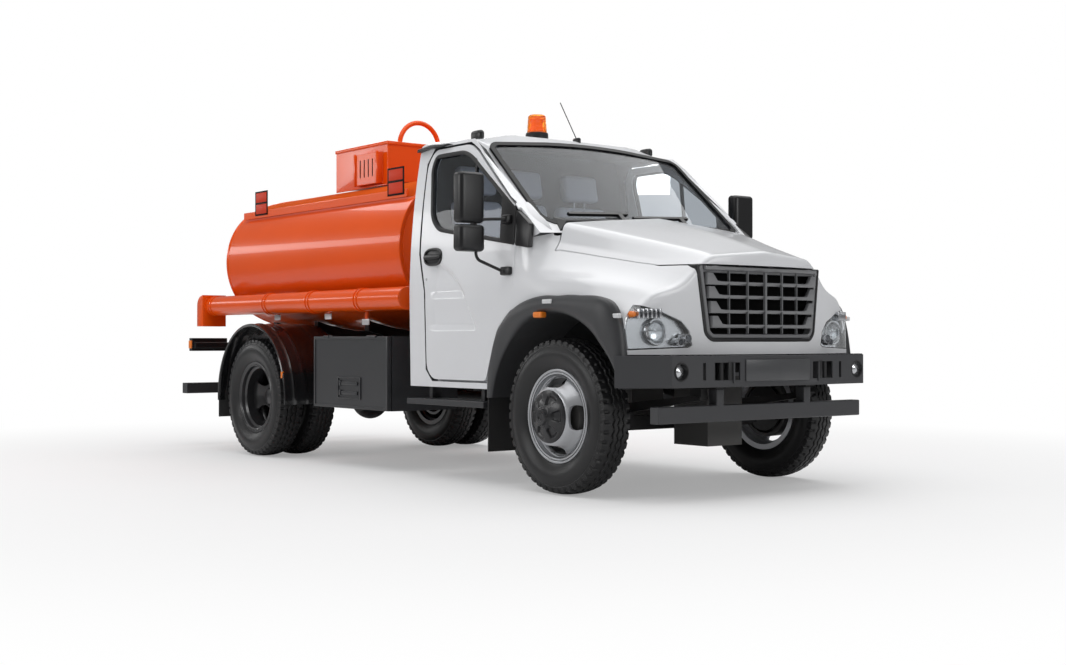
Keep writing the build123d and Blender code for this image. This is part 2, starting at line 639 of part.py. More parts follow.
def nose_volume(inset, back=0):
    """Outside of the nose moved inwards by inset; back lengthens it past its rear end."""
    with BuildPart() as volume:
        for station, inwards, middle in NOSE_SECTIONS:
            half = [(CAB_HALF_WIDTH - x, z) for x, z in inwards] + [(0, middle)]
            rear = back if station == NOSE_SECTIONS[0][0] else 0
            with BuildSketch(cross_plane(station + rear)):
                with BuildLine():
                    Polyline(*both_sides(half), close=True)
                make_face()
                if inset:
                    offset(amount=-inset, kind=Kind.INTERSECTION)
        loft(ruled=True)
        with BuildSketch(Plane.XY):
            (end_x, end_y), (_, tip_y) = NOSE_BOW
            rear = at(DOOR_FRONT + back + 10)
            side = CAB_HALF_WIDTH + 100
            with BuildLine():
                ThreePointArc((-end_x, at(end_y + inset)), (0, at(tip_y + inset)),
                              (end_x, at(end_y + inset)))
                Polyline((end_x, at(end_y + inset)), (side, at(end_y + inset + 130)), (side, rear),
                         (-side, rear), (-side, at(end_y + inset + 130)),
                         (-end_x, at(end_y + inset)))
            make_face()
        extrude(amount=3000, mode=Mode.INTERSECT)
    return volume.part


def bonnet_prism(grow=0, rear=0):
    """Space over the bonnet's outline, with sides that lean outwards."""
    with BuildPart() as prism:
        with BuildSketch(Plane.XY.offset(GRILLE_TOP + 5)):
            half_rear, half_front = BONNET_HALF_REAR + grow, BONNET_HALF_FRONT + grow
            turn = BONNET_REAR - BONNET_STRAIGHT
            with BuildLine():
                Polyline((half_rear, at(BONNET_REAR + 300)), (half_rear, at(turn)),
                         (half_front, at(NOSE_BOW[1][1] - 5)), (half_front, at(-1200)),
                         (-half_front, at(-1200)), (-half_front, at(NOSE_BOW[1][1] - 5)),
                         (-half_rear, at(turn)), (-half_rear, at(BONNET_REAR + 300)), close=True)
            make_face()
        extrude(amount=500, taper=-BONNET_FLARE)
        with Locations((0, at(BONNET_REAR + rear - 1000), GRILLE_TOP + 5 - grow + 500)):
            Box(3000, 2000, 1000, mode=Mode.INTERSECT)
    return prism.part


def front_prism(outline, grow=0, depth=400):
    """A front outline (x, z) carried back from ahead of the nose."""
    with BuildPart() as prism:
        with BuildSketch(cross_plane(depth - 1000)):
            with BuildLine():
                Polyline(*outline, close=True)
            make_face()
            if grow:
                offset(amount=grow, kind=Kind.INTERSECTION)
        extrude(amount=depth)
    return prism.part


def lamp_outline(side):
    inwards = [(-25, 872), (-25, 1157), (75, 1150), (235, 1108), (385, 1045), (433, 985),
               (445, 905), (420, 892)]
    return [(side * (CAB_HALF_WIDTH - x), z) for x, z in inwards]


GRILLE_OUTLINE = [
    (GRILLE_HALF_BOTTOM - 50, GRILLE_BOTTOM), (GRILLE_HALF_BOTTOM, GRILLE_BOTTOM + 45),
    (GRILLE_HALF_TOP, GRILLE_TOP), (-GRILLE_HALF_TOP, GRILLE_TOP),
    (-GRILLE_HALF_BOTTOM, GRILLE_BOTTOM + 45), (50 - GRILLE_HALF_BOTTOM, GRILLE_BOTTOM),
]
LAMP_BACK = 35 - ARCH_RADIUS      # station of the lamps' rear edge on the wing's side
nose_outside = nose_volume(0)
with BuildPart() as nose_skin:
    add(nose_outside)
    add(nose_volume(NOSE_SHEET, back=60), mode=Mode.SUBTRACT)

with BuildPart() as bonnet:
    add(nose_skin.part)
    add(bonnet_prism(), mode=Mode.INTERSECT)
save(bonnet.part, "bonnet")

with BuildPart() as front_body:
    add(nose_skin.part)
    with Locations((0, at(0), WING_BOTTOM - 500)):
        Box(3000, 3000, 1000, mode=Mode.SUBTRACT)
    add(bonnet_prism(SEAM, COWL_GAP), mode=Mode.SUBTRACT)
    with Locations((0, FRONT_AXLE_Y, TYRE_RADIUS)):
        Cylinder(ARCH_RADIUS + 15, 3000, rotation=(0, 90, 0), mode=Mode.SUBTRACT)
    add(front_prism(GRILLE_OUTLINE, FIT), mode=Mode.SUBTRACT)
    for side in SIDES.values():
        add(front_prism(lamp_outline(side), FIT, depth=1000 + LAMP_BACK), mode=Mode.SUBTRACT)
    add(cab_outside, mode=Mode.SUBTRACT)
    for side in SIDES.values():
        for z in HINGE_HEIGHTS:
            with Locations((side * (HINGE_X - 23.5), at(HINGE_STATION - 20), z - 16)):
                Box(59, 40, HINGE_LENGTH - 5)
            with Locations((side * HINGE_X, at(HINGE_STATION), z - (HINGE_LENGTH + HINGE_AXIAL_GAP) / 2)):
                Cylinder(HINGE_BARREL_RADIUS, HINGE_LENGTH - HINGE_AXIAL_GAP)
            with Locations((side * HINGE_X, at(HINGE_STATION), z - 2)):
                Cylinder(HINGE_PIN_RADIUS, 2 * HINGE_LENGTH - 4)
wing_panels, cowl_strip = front_body.part.solids().sort_by(SortBy.VOLUME, reverse=True)[:2]
save(wing_panels, "front_body")
save(cowl_strip, "cowl_panel")

with BuildPart() as grille:
    add(nose_volume(2))
    add(nose_volume(47), mode=Mode.SUBTRACT)
    add(front_prism(GRILLE_OUTLINE), mode=Mode.INTERSECT)
    row_pitch = (GRILLE_TOP - GRILLE_BOTTOM - 60) / GRILLE_ROWS
    column_pitch = 2 * (GRILLE_HALF_BOTTOM - 55) / GRILLE_COLUMNS
    with BuildSketch(cross_plane(-300)):
        with Locations((0, (GRILLE_TOP + GRILLE_BOTTOM) / 2 + 8)):
            with GridLocations(column_pitch, row_pitch, GRILLE_COLUMNS, GRILLE_ROWS):
                Rectangle(column_pitch - 12, row_pitch - 34)
    extrude(amount=800, mode=Mode.SUBTRACT)
save(grille.part, "grille")

with BuildPart() as headlamps:
    for side in SIDES.values():
        add(front_prism(lamp_outline(side), 0, depth=1000 + LAMP_BACK))
    add(nose_volume(2), mode=Mode.INTERSECT)
    add(nose_volume(62), mode=Mode.SUBTRACT)
save(headlamps.part, "headlamps")


# ---------------------------------------------------------------- arches, bumper and steps
FLARE_FACE = CAB_HALF_WIDTH + 50
LINER_INNER_X = 600
FLAP_TOP = 568
FLARE_OUTLINE = [
    (ARCH_RADIUS + 47, FLAP_TOP), (ARCH_RADIUS + 17, 810), (ARCH_RADIUS - 57, 1000),
    (404, ARCH_RADIUS + 502), (210, ARCH_RADIUS + 566), (-56, ARCH_RADIUS + 575),
    (-288, ARCH_RADIUS + 571), (-475, ARCH_RADIUS + 560), (-596, ARCH_RADIUS + 525),
    (-47 - ARCH_RADIUS, 878), (-47 - ARCH_RADIUS, WING_BOTTOM), (145 - ARCH_RADIUS, WING_BOTTOM),
]
MUDFLAP_STATION = ARCH_RADIUS + 15
FLAP_BOTTOM = 223
FLAP_HALF_WIDTH = 110
with BuildPart() as wheel_arch_flares:
    for side in SIDES.values():
        # flare outside the wing, its outer edge drawn in towards the cab's side
        outline = stations(FLARE_OUTLINE)
        with BuildSketch(side_plane(side * (CAB_HALF_WIDTH + FIT))):
            with BuildLine():
                Polyline(*outline, (at(ARCH_RADIUS - 25), FLAP_TOP), close=True)
            make_face()
        with BuildSketch(side_plane(side * FLARE_FACE)):
            with BuildLine():
                Polyline(*outline, (at(ARCH_RADIUS - 25), FLAP_TOP), close=True)
            make_face()
            offset(amount=-55, kind=Kind.INTERSECTION)
        loft(ruled=True)
    with BuildSketch(side_plane(-1200)):
        with Locations((FRONT_AXLE_Y, TYRE_RADIUS)):
            Circle(ARCH_RADIUS)
        with Locations((FRONT_AXLE_Y, 0)):
            Rectangle(2 * ARCH_RADIUS, 2 * TYRE_RADIUS)
    extrude(amount=2400, mode=Mode.SUBTRACT)
    for side in SIDES.values():
        with BuildSketch(side_plane(side * LINER_INNER_X)):
            with Locations((FRONT_AXLE_Y, TYRE_RADIUS)):
                Circle(ARCH_RADIUS + 12)
                Circle(ARCH_RADIUS, mode=Mode.SUBTRACT)
            with Locations((FRONT_AXLE_Y, TYRE_RADIUS + 230 - 1000)):
                Rectangle(3000, 2000, mode=Mode.SUBTRACT)
        extrude(amount=side * (FLARE_FACE - 30 - LINER_INNER_X))
save(wheel_arch_flares.part, "wheel_arch_flares")

with BuildPart() as front_mudflaps:
    for side in SIDES.values():
        with Locations((side * (FLARE_FACE - 25 - FLAP_HALF_WIDTH), at(MUDFLAP_STATION),
                        (FLAP_BOTTOM + FLAP_TOP - FIT) / 2)):
            Box(2 * FLAP_HALF_WIDTH, 8, FLAP_TOP - FIT - FLAP_BOTTOM)
save(front_mudflaps.part, "front_mudflaps")

BUMPER_FACE = -FRONT_OVERHANG
BUMPER_BEND = (CAB_HALF_WIDTH - 171, -854)
BUMPER_END = (CAB_HALF_WIDTH + 45, -606)
BUMPER_OUTLINE = [BUMPER_BEND, BUMPER_END]
HOOK_WINDOW = (FRAME_HALF_WIDTH - 14, 196, 103)  # middle, width and height of the hook's window
SLOT_X = HOOK_WINDOW[0] + 176
FOG_LAMP = (BUMPER_BEND[0] - 71, 50)             # middle and radius
with BuildPart() as front_bumper:
    face = [(0, BUMPER_FACE), *BUMPER_OUTLINE]
    back = [(BUMPER_END[0] - BUMPER_STEEL, BUMPER_END[1]),
            (BUMPER_BEND[0] - BUMPER_STEEL / 2, BUMPER_BEND[1] + BUMPER_STEEL),
            (0, BUMPER_FACE + BUMPER_STEEL)]
    with BuildSketch(Plane.XY.offset(BUMPER_BOTTOM)):
        for s in (-1, 1):
            with BuildLine():
                Polyline(*[(s * x, at(y)) for x, y in face + back], close=True)
            make_face()
    extrude(amount=BUMPER_TOP - BUMPER_BOTTOM)
    # tread plate on top, from the face back under the nose
    with BuildSketch(Plane.XY.offset(BUMPER_TOP - 8)):
        for s in (-1, 1):
            with BuildLine():
                Polyline(*[(s * x, at(y)) for x, y in
                           [(0, BUMPER_FACE), *BUMPER_OUTLINE, (BUMPER_END[0] - 90, BUMPER_END[1]),
                            (BUMPER_BEND[0] - 34, FRAME_FRONT - FIT), (0, FRAME_FRONT - FIT)]],
                         close=True)
            make_face()
    extrude(amount=8)
    middle_z = (BUMPER_TOP + BUMPER_BOTTOM) / 2
    for side in SIDES.values():
        with Locations((side * HOOK_WINDOW[0], at(-870), middle_z)):
            Box(HOOK_WINDOW[1], 200, HOOK_WINDOW[2], mode=Mode.SUBTRACT)
        with Locations((side * SLOT_X, at(-870), middle_z)):
            Box(22, 200, 100, mode=Mode.SUBTRACT)
        with Locations((side * FOG_LAMP[0], at(-870), middle_z)):
            Cylinder(FOG_LAMP[1], 200, rotation=(90, 0, 0), mode=Mode.SUBTRACT)
        # brackets back to the frame's front end
        with Locations((side * (FRAME_HALF_WIDTH - 60), at((BUMPER_FACE + FRAME_FRONT) / 2 + 8), 745)):
            Box(12, FRAME_FRONT - BUMPER_FACE - 16 - FIT, 120)
save(front_bumper.part, "front_bumper")

UNDERRUN_Z = (456, 554)
with BuildPart() as front_underrun_bar:
    with Locations((0, at(-752), sum(UNDERRUN_Z) / 2)):
        Box(2 * (CAB_HALF_WIDTH - 125), 70, UNDERRUN_Z[1] - UNDERRUN_Z[0])
    for side in SIDES.values():
        with Locations((side * (FRAME_HALF_WIDTH - 50), at(-752),
                        (UNDERRUN_Z[1] + FRAME_BOTTOM - FIT) / 2)):
            Box(60, 70, FRAME_BOTTOM - FIT - UNDERRUN_Z[1])
save(front_underrun_bar.part, "front_underrun_bar")

STEP_Z = 540
STEP_STATIONS = (MUDFLAP_STATION + 25, CAB_REAR - 35)
STEP_DEPTH = 220
with BuildPart() as cab_steps:
    for side in SIDES.values():
        with Locations((side * (CAB_HALF_WIDTH - 65), at(sum(STEP_STATIONS) / 2), STEP_Z - 20)):
            Box(STEP_DEPTH, STEP_STATIONS[1] - STEP_STATIONS[0], 40)
        for station in (STEP_STATIONS[0] + 155, STEP_STATIONS[1] - 135):
            with Locations((side * (CAB_HALF_WIDTH - 105), at(station), (STEP_Z + CAB_SILL_Z - FIT) / 2)):
                Box(80, 40, CAB_SILL_Z - FIT - STEP_Z)
save(cab_steps.part, "cab_steps")

# ---------------------------------------------------------------- roof and windscreen fittings
with BuildPart() as wipers:
    for centre, length in ((-430, 520), (120, 520)):
        with BuildSketch(slope_plane(2)):
            with Locations((centre, 8)):
                Rectangle(length, 22, rotation=4)
            with Locations((centre + 190, -30)):
                Rectangle(40, 90)
        extrude(amount=22)
    add(cab_outside, mode=Mode.SUBTRACT)
    add(cowl_strip, mode=Mode.SUBTRACT)
# what the cowl cuts off below itself is left out
save(Compound(wipers.part.solids().sort_by(SortBy.VOLUME, reverse=True)[:2]), "wipers")

BEACON_STATION = 1450
with BuildPart() as beacon:
    with BuildSketch(Plane.XZ.offset(-at(BEACON_STATION))):
        with BuildLine():
            Polyline((0, CAB_TOP + FIT), (82, CAB_TOP + FIT), (82, CAB_TOP + 28), (72, CAB_TOP + 36),
                     (66, CAB_TOP + 150), (48, CAB_TOP + 164), (0, CAB_TOP + 166), close=True)
        make_face()
    revolve(axis=Axis((0, at(BEACON_STATION), 0), (0, 0, 1)))
save(beacon.part, "beacon")

with BuildPart() as roof_markers:
    for x in (236 - CAB_HALF_WIDTH, CAB_HALF_WIDTH - 236):
        with Locations((x, at(1120), CAB_TOP - 24)):
            Box(46, 110, 60)
    add(cab_outside, mode=Mode.SUBTRACT)
save(roof_markers.part, "roof_markers")

with BuildPart() as antenna:
    with Locations((180, at(1200), CAB_TOP + 4)):
        Box(30, 60, 30)
    with BuildSketch(Plane((180, at(1200), CAB_TOP), z_dir=(0, 0.5, 0.87))):
        Circle(5)
    extrude(amount=330)
    add(cab_outside, mode=Mode.SUBTRACT)
save(antenna.part, "antenna")

MIRROR_X = CAB_HALF_WIDTH + 213
MIRROR_STATION = 580
MIRROR_TUBE_RADIUS = 9
for name, side in SIDES.items():
    with BuildPart() as mirror:
        with BuildSketch(Plane.XY.offset(1672)):
            with Locations((side * MIRROR_X, at(MIRROR_STATION))):
                RectangleRounded(195, 80, 30)
        extrude(amount=320)
        with BuildSketch(Plane.XY.offset(1493)):
            with Locations((side * MIRROR_X, at(MIRROR_STATION))):
                RectangleRounded(200, 80, 30)
        extrude(amount=172)
        # stem through both housings, and the arms to the door's side
        with Locations((side * (MIRROR_X - 45), at(MIRROR_STATION), (1430 + 1880) / 2)):
            Cylinder(MIRROR_TUBE_RADIUS, 470)
        for z, foot_z in ((1700, 1700), (1432, 1370)):
            start = Vector(side * (MIRROR_X - 45), at(MIRROR_STATION), z)
            end = Vector(side * (CAB_HALF_WIDTH + 8), at(DOOR_FRONT + 70), foot_z)
            with Locations(start):
                Sphere(MIRROR_TUBE_RADIUS + 3)
            with BuildSketch(Plane(start, z_dir=end - start)):
                Circle(MIRROR_TUBE_RADIUS - 1)
            extrude(amount=(end - start).length)
            with Locations((side * (CAB_HALF_WIDTH - 20), at(DOOR_FRONT + 75), foot_z)):
                Box(72, 70, 60)
        add(cab_outside, mode=Mode.SUBTRACT)
    save(mirror.part, f"mirror_{name}")


# ---------------------------------------------------------------- tank
def tank_section(station, shrink=0):
    """Closed tank outline of four arcs across the truck, with rounded corners."""
    a, b = TANK_HALF_WIDTH - shrink, TANK_HALF_HEIGHT - shrink
    z0 = TANK_CENTRE_Z
    corner = {(i, j): (i * TANK_SHOULDER * a, z0 + j * TANK_SHOULDER * b) for i in (-1, 1) for j in (-1, 1)}
    with BuildSketch(cross_plane(station)) as section:
        with BuildLine():
            for s in (-1, 1):
                ThreePointArc(corner[-1, s], (0, z0 + s * b), corner[1, s])
                ThreePointArc(corner[s, -1], (s * a, z0), corner[s, 1])
        make_face()
        fillet(section.vertices(), TANK_CORNER_RADIUS - shrink)
    return section.sketch


TANK_CORNER_RADIUS = 220
DISH = [(0, 0), (TANK_HEAD_DEPTH * 0.55, 45), (TANK_HEAD_DEPTH, 170)]   # depth and shrink
dished_heads = []
for end, outwards in ((TANK_FRONT, -1), (TANK_REAR, 1)):
    for (depth_a, shrink_a), (depth_b, shrink_b) in zip(DISH, DISH[1:]):
        with BuildPart() as head:
            add(tank_section(end + outwards * depth_a, shrink_a))
            add(tank_section(end + outwards * depth_b, shrink_b))
            loft(ruled=True)
        dished_heads.append(head.part)
with BuildPart() as tank_shell:
    extrude(tank_section(TANK_REAR), amount=TANK_REAR - TANK_FRONT, dir=(0, -1, 0))
    for head_part in dished_heads:
        add(head_part)
save(tank_shell.part, "tank_shell")

CRADLES = (TANK_FRONT + 260, TANK_FRONT + 1040, TANK_REAR - 900, TANK_REAR - 180)
CRADLE_HALF = FRAME_HALF_WIDTH + 130
SUBFRAME_FRONT = CAB_REAR + 100
SUBFRAME_HEIGHT = 110
with BuildPart() as tank_saddles:
    for side in SIDES.values():
        with Locations((side * (FRAME_HALF_WIDTH - FRAME_FLANGE / 2), at((SUBFRAME_FRONT + FRAME_REAR) / 2),
                        FRAME_TOP + FIT + SUBFRAME_HEIGHT / 2)):
            Box(FRAME_FLANGE, FRAME_REAR - SUBFRAME_FRONT, SUBFRAME_HEIGHT)
    for station in CRADLES:
        with BuildSketch(cross_plane(station + 30)):
            with BuildLine():
                Polyline((FRAME_FLANGE - FRAME_HALF_WIDTH, 900), (FRAME_HALF_WIDTH - FRAME_FLANGE, 900),
                         (FRAME_HALF_WIDTH + 5, 980), (CRADLE_HALF, 1010), (CRADLE_HALF, 1200),
                         (-CRADLE_HALF, 1200), (-CRADLE_HALF, 1010), (-FRAME_HALF_WIDTH - 5, 980),
                         close=True)
            make_face()
        extrude(amount=60)
    add(tank_shell.part, mode=Mode.SUBTRACT)
save(tank_saddles.part, "tank_saddles")

RAIL_X = 800
RAIL_TOP = 2030
with BuildPart() as tank_rails:
    for side in SIDES.values():
        with Locations((side * RAIL_X, at((TANK_FRONT + TANK_REAR) / 2), RAIL_TOP - 60)):
            Box(24, TANK_REAR - TANK_FRONT - 160, 120)
    add(tank_shell.part, mode=Mode.SUBTRACT)
save(tank_rails.part, "tank_rails")

# front and rear stations of the two plates a side
PLATES = ((TANK_FRONT + 105, TANK_FRONT + 330), (TANK_REAR - 525, TANK_REAR - 300))
PLATE_HEIGHT = 205
with BuildPart() as hazard_plates:
    for side in SIDES.values():
        for start, end in PLATES:
            plate_z = RAIL_TOP + PLATE_HEIGHT / 2 - 40
            with Locations((side * (RAIL_X + 12 + FIT + 2), at((start + end) / 2), plate_z)):
                Box(4, end - start, PLATE_HEIGHT + 40)
    add(tank_shell.part, mode=Mode.SUBTRACT)
save(hazard_plates.part, "hazard_plates")

NECK = (TANK_FRONT + 960, TANK_REAR - 980)
NECK_HALF = 420
NECK_TOP = 2500
with BuildPart() as neck_housing:
    with Locations((0, at(sum(NECK) / 2), (NECK_TOP + TANK_CENTRE_Z) / 2)):
        Box(2 * NECK_HALF, NECK[1] - NECK[0], NECK_TOP - TANK_CENTRE_Z)
    for side in SIDES.values():
        with Locations((side * (NECK_HALF + 25), at(NECK[0] + 240), NECK_TOP - 200)):
            Box(50, 340, 250)
    add(tank_shell.part, mode=Mode.SUBTRACT)
save(neck_housing.part, "neck_housing")

HOOP_STATION = NECK[0] + 330
HOOP_X = 95
HOOP_RADIUS = 190
with BuildPart() as vent_pipe:
    with BuildLine() as hoop_path:
        low, spring = (NECK_TOP + FIT), NECK_TOP + 40
        Line((HOOP_X - HOOP_RADIUS, at(HOOP_STATION), low), (HOOP_X - HOOP_RADIUS, at(HOOP_STATION), spring))
        ThreePointArc((HOOP_X - HOOP_RADIUS, at(HOOP_STATION), spring),
                      (HOOP_X, at(HOOP_STATION), spring + HOOP_RADIUS),
                      (HOOP_X + HOOP_RADIUS, at(HOOP_STATION), spring))
        Line((HOOP_X + HOOP_RADIUS, at(HOOP_STATION), spring), (HOOP_X + HOOP_RADIUS, at(HOOP_STATION), low))
    with BuildSketch(Plane(hoop_path.line @ 0, z_dir=(0, 0, 1))):
        Circle(20)
    sweep()
save(vent_pipe.part, "vent_pipe")

HOSE_RINGS = (HOSE_TUBE_FRONT + 590, HOSE_TUBE_FRONT + 1310, HOSE_TUBE_REAR - 1060,
              HOSE_TUBE_REAR - 60)
with BuildPart() as hose_tubes:
    for side in SIDES.values():
        with BuildSketch(Plane((side * HOSE_TUBE_X, at(HOSE_TUBE_REAR), HOSE_TUBE_Z), z_dir=(0, -1, 0))):
            Circle(HOSE_TUBE_RADIUS)
        extrude(amount=HOSE_TUBE_REAR - HOSE_TUBE_FRONT)
        for station in HOSE_RINGS:
            with BuildSketch(Plane((side * HOSE_TUBE_X, at(station + 22), HOSE_TUBE_Z), z_dir=(0, -1, 0))):
                Circle(HOSE_TUBE_RADIUS + 8)
            extrude(amount=44)
            with Locations((side * (HOSE_TUBE_X - 120), at(station), HOSE_TUBE_Z - 20)):
                Box(180, 30, 90)
        with Locations((side * HOSE_TUBE_X, at(HOSE_TUBE_REAR + 60), HOSE_TUBE_Z - 40)):
            Box(220, 120, 270)
    add(tank_shell.part, mode=Mode.SUBTRACT)
save(hose_tubes.part, "hose_tubes")

# ---------------------------------------------------------------- rear end and side boxes
BOX_STATIONS = (CAB_REAR + 200, WHEELBASE - 910)
BOX_Z = (434, 964)
BOX_FACE = 1050
BOX_FRAME_GAP = 31
BOX_SHEET = 20
LID = 22
BOX_DEPTH = BOX_FACE - LID - SEAM - BOX_FRAME_GAP - FRAME_HALF_WIDTH
BOX_CENTRE_X = -(BOX_FACE - LID - SEAM - BOX_DEPTH / 2)
BOX_CENTRE_Y = at(sum(BOX_STATIONS) / 2)
LID_HINGES = (BOX_STATIONS[0] + 260, BOX_STATIONS[1] - 260)
LID_BARREL_RADIUS = 8
LID_PIN_RADIUS = 4
with BuildPart() as toolbox:
    with Locations((BOX_CENTRE_X, BOX_CENTRE_Y, sum(BOX_Z) / 2)):
        Box(BOX_DEPTH, BOX_STATIONS[1] - BOX_STATIONS[0], BOX_Z[1] - BOX_Z[0])
    with Locations((BOX_CENTRE_X - BOX_SHEET, BOX_CENTRE_Y, sum(BOX_Z) / 2)):
        Box(BOX_DEPTH, BOX_STATIONS[1] - BOX_STATIONS[0] - 2 * BOX_SHEET,
            BOX_Z[1] - BOX_Z[0] - 2 * BOX_SHEET, mode=Mode.SUBTRACT)
    # hangers to the frame's web
    for station in (BOX_STATIONS[0] + 200, BOX_STATIONS[1] - 200):
        with Locations((-(FRAME_HALF_WIDTH + FIT + 20), at(station), 740)):
            Box(40, 60, 140)
    for station in LID_HINGES:
        with Locations((-(BOX_FACE - 17), at(station - 16), BOX_Z[1])):
            Box(34, 27, 14)
        with Locations((-BOX_FACE, at(station - 15), BOX_Z[1] - 1)):
            Cylinder(LID_BARREL_RADIUS, 30 - HINGE_AXIAL_GAP, rotation=(90, 0, 0))
        with Locations((-BOX_FACE, at(station), BOX_Z[1] - 1)):
            Cylinder(LID_PIN_RADIUS, 56, rotation=(90, 0, 0))
save(toolbox.part, "toolbox")

with BuildPart() as toolbox_door:
    with Locations((-(BOX_FACE - LID / 2), BOX_CENTRE_Y, sum(BOX_Z) / 2)):
        Box(LID, BOX_STATIONS[1] - BOX_STATIONS[0] - 2, BOX_Z[1] - BOX_Z[0] - 2)
    for station in LID_HINGES:
        with Locations((-BOX_FACE, at(station - 16), BOX_Z[1] - 6)):
            Box(80, 40, 30, mode=Mode.SUBTRACT)
        with Locations((-BOX_FACE, at(station + 15), BOX_Z[1] - 1)):
            Cylinder(LID_BARREL_RADIUS, 30, rotation=(90, 0, 0))
            Cylinder(LID_PIN_RADIUS + BEARING_PLAY, 40, rotation=(90, 0, 0), mode=Mode.SUBTRACT)
save(toolbox_door.part, "toolbox_door")

FUEL_STATIONS = (CAB_REAR + 280, WHEELBASE - 990)
FUEL_X = (FRAME_HALF_WIDTH + 50, 1000)
with BuildPart() as fuel_tank:
    with Locations((sum(FUEL_X) / 2, at(sum(FUEL_STATIONS) / 2), 680)):
        Box(FUEL_X[1] - FUEL_X[0], FUEL_STATIONS[1] - FUEL_STATIONS[0], 440)
    fillet(fuel_tank.edges().filter_by(Axis.Y), 70)
    for station in (FUEL_STATIONS[0] + 170, FUEL_STATIONS[1] - 170):
        with Locations((FRAME_HALF_WIDTH + FIT + 26, at(station), 720)):
            Box(52, 60, 120)
save(fuel_tank.part, "fuel_tank")

GUARD_RADIUS = 585
GUARD_X = (585, 1130)
with BuildPart() as rear_mudguards:
    for side in SIDES.values():
        with BuildSketch(side_plane(side * GUARD_X[0])):
            with Locations((REAR_AXLE_Y, TYRE_RADIUS)):
                Circle(GUARD_RADIUS + 10)
                Circle(GUARD_RADIUS, mode=Mode.SUBTRACT)
            with Locations((REAR_AXLE_Y, TYRE_RADIUS + 60 - 1000)):
                Rectangle(3000, 2000, mode=Mode.SUBTRACT)
        extrude(amount=side * (GUARD_X[1] - GUARD_X[0]))
        with Locations((side * 920, at(WHEELBASE + GUARD_RADIUS + 4), 420)):
            Box(400, 8, 254)
        for station in (WHEELBASE - 480, WHEELBASE + 480):
            reach = GUARD_X[0] + 60 - FRAME_HALF_WIDTH - FIT
            z = TYRE_RADIUS + sqrt(GUARD_RADIUS ** 2 - 480 ** 2)
            with Locations((side * (FRAME_HALF_WIDTH + FIT + reach / 2), at(station), z - 10)):
                Box(reach, 50, 40)
save(rear_mudguards.part, "rear_mudguards")

with BuildPart() as rear_underrun_bar:
    with Locations((0, REAR_END_Y - 50, 511)):
        Box(2 * 1070, 100, 92)
    for side in SIDES.values():
        with Locations((side * (FRAME_HALF_WIDTH - 40), REAR_END_Y - 85, 700)):
            Box(40, 70, 300)
        with Locations((side * (FRAME_HALF_WIDTH - 40), (REAR_END_Y - 50 + at(FRAME_REAR) + FIT) / 2, 740)):
            Box(40, REAR_END_Y - 50 - at(FRAME_REAR) - FIT, 120)
save(rear_underrun_bar.part, "rear_underrun_bar")

with BuildPart() as rear_lamps:
    with Locations((0, at(FRAME_REAR) + FIT + 20, FRAME_TOP + 40)):
        Box(2 * 1000, 40, 50)
    for side in SIDES.values():
        with Locations((side * 850, at(FRAME_REAR) + FIT + 60, FRAME_TOP + 47)):
            Box(340, 60, 115)
save(rear_lamps.part, "rear_lamps")

OUTLET_RADIUS = 44.5
with BuildPart() as discharge_outlet:
    with BuildSketch(Plane((0, at(TANK_REAR), TANK_CENTRE_Z - 400), z_dir=(0, 1, 0))):
        Circle(OUTLET_RADIUS)
    extrude(amount=TANK_HEAD_DEPTH + 190)
    with BuildSketch(Plane((0, at(TANK_REAR), TANK_CENTRE_Z - 400), z_dir=(0, 1, 0))):
        Circle(OUTLET_RADIUS + 40)
    extrude(amount=TANK_HEAD_DEPTH + 30)
    add(tank_shell.part, mode=Mode.SUBTRACT)
save(discharge_outlet.part, "discharge_outlet")
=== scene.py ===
import json
from math import pi, radians

import bmesh
import bpy
import numpy as np
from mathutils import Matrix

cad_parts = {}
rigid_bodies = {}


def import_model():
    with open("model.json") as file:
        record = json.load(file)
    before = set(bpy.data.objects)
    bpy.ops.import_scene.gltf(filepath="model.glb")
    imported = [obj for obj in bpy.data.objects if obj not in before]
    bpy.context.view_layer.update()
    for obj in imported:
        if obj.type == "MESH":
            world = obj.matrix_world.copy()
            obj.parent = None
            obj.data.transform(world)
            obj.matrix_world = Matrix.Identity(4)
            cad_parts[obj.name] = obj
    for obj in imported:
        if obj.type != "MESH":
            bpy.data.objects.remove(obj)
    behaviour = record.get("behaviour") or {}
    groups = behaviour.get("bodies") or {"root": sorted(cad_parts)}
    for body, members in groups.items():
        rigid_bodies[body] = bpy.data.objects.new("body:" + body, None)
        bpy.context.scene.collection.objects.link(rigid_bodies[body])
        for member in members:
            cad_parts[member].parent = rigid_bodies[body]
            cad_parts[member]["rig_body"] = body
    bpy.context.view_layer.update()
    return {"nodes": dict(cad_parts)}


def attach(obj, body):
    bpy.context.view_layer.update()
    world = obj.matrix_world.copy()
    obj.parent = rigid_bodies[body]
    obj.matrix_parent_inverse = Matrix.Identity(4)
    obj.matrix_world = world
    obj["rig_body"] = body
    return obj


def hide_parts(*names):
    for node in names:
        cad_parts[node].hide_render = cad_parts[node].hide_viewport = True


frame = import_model()
AXLE = -2.1465          # row station of the front axle; every station below is counted from it
REAR_AXLE = 3.770
SIDES = {"right": -1, "left": 1}
tau = 2 * pi


# ================================================================ studio
# A pale studio: a seamless floor that fades into a white world, a broad ceiling light, three
# panels round the truck and two strips that draw long highlights on its tank.
scene = bpy.context.scene
scene.view_settings.view_transform = "Standard"


def linked(name, data):
    """New object for a mesh, a light or a camera, in the scene."""
    piece = bpy.data.objects.new(name, data)
    scene.collection.objects.link(piece)
    return piece


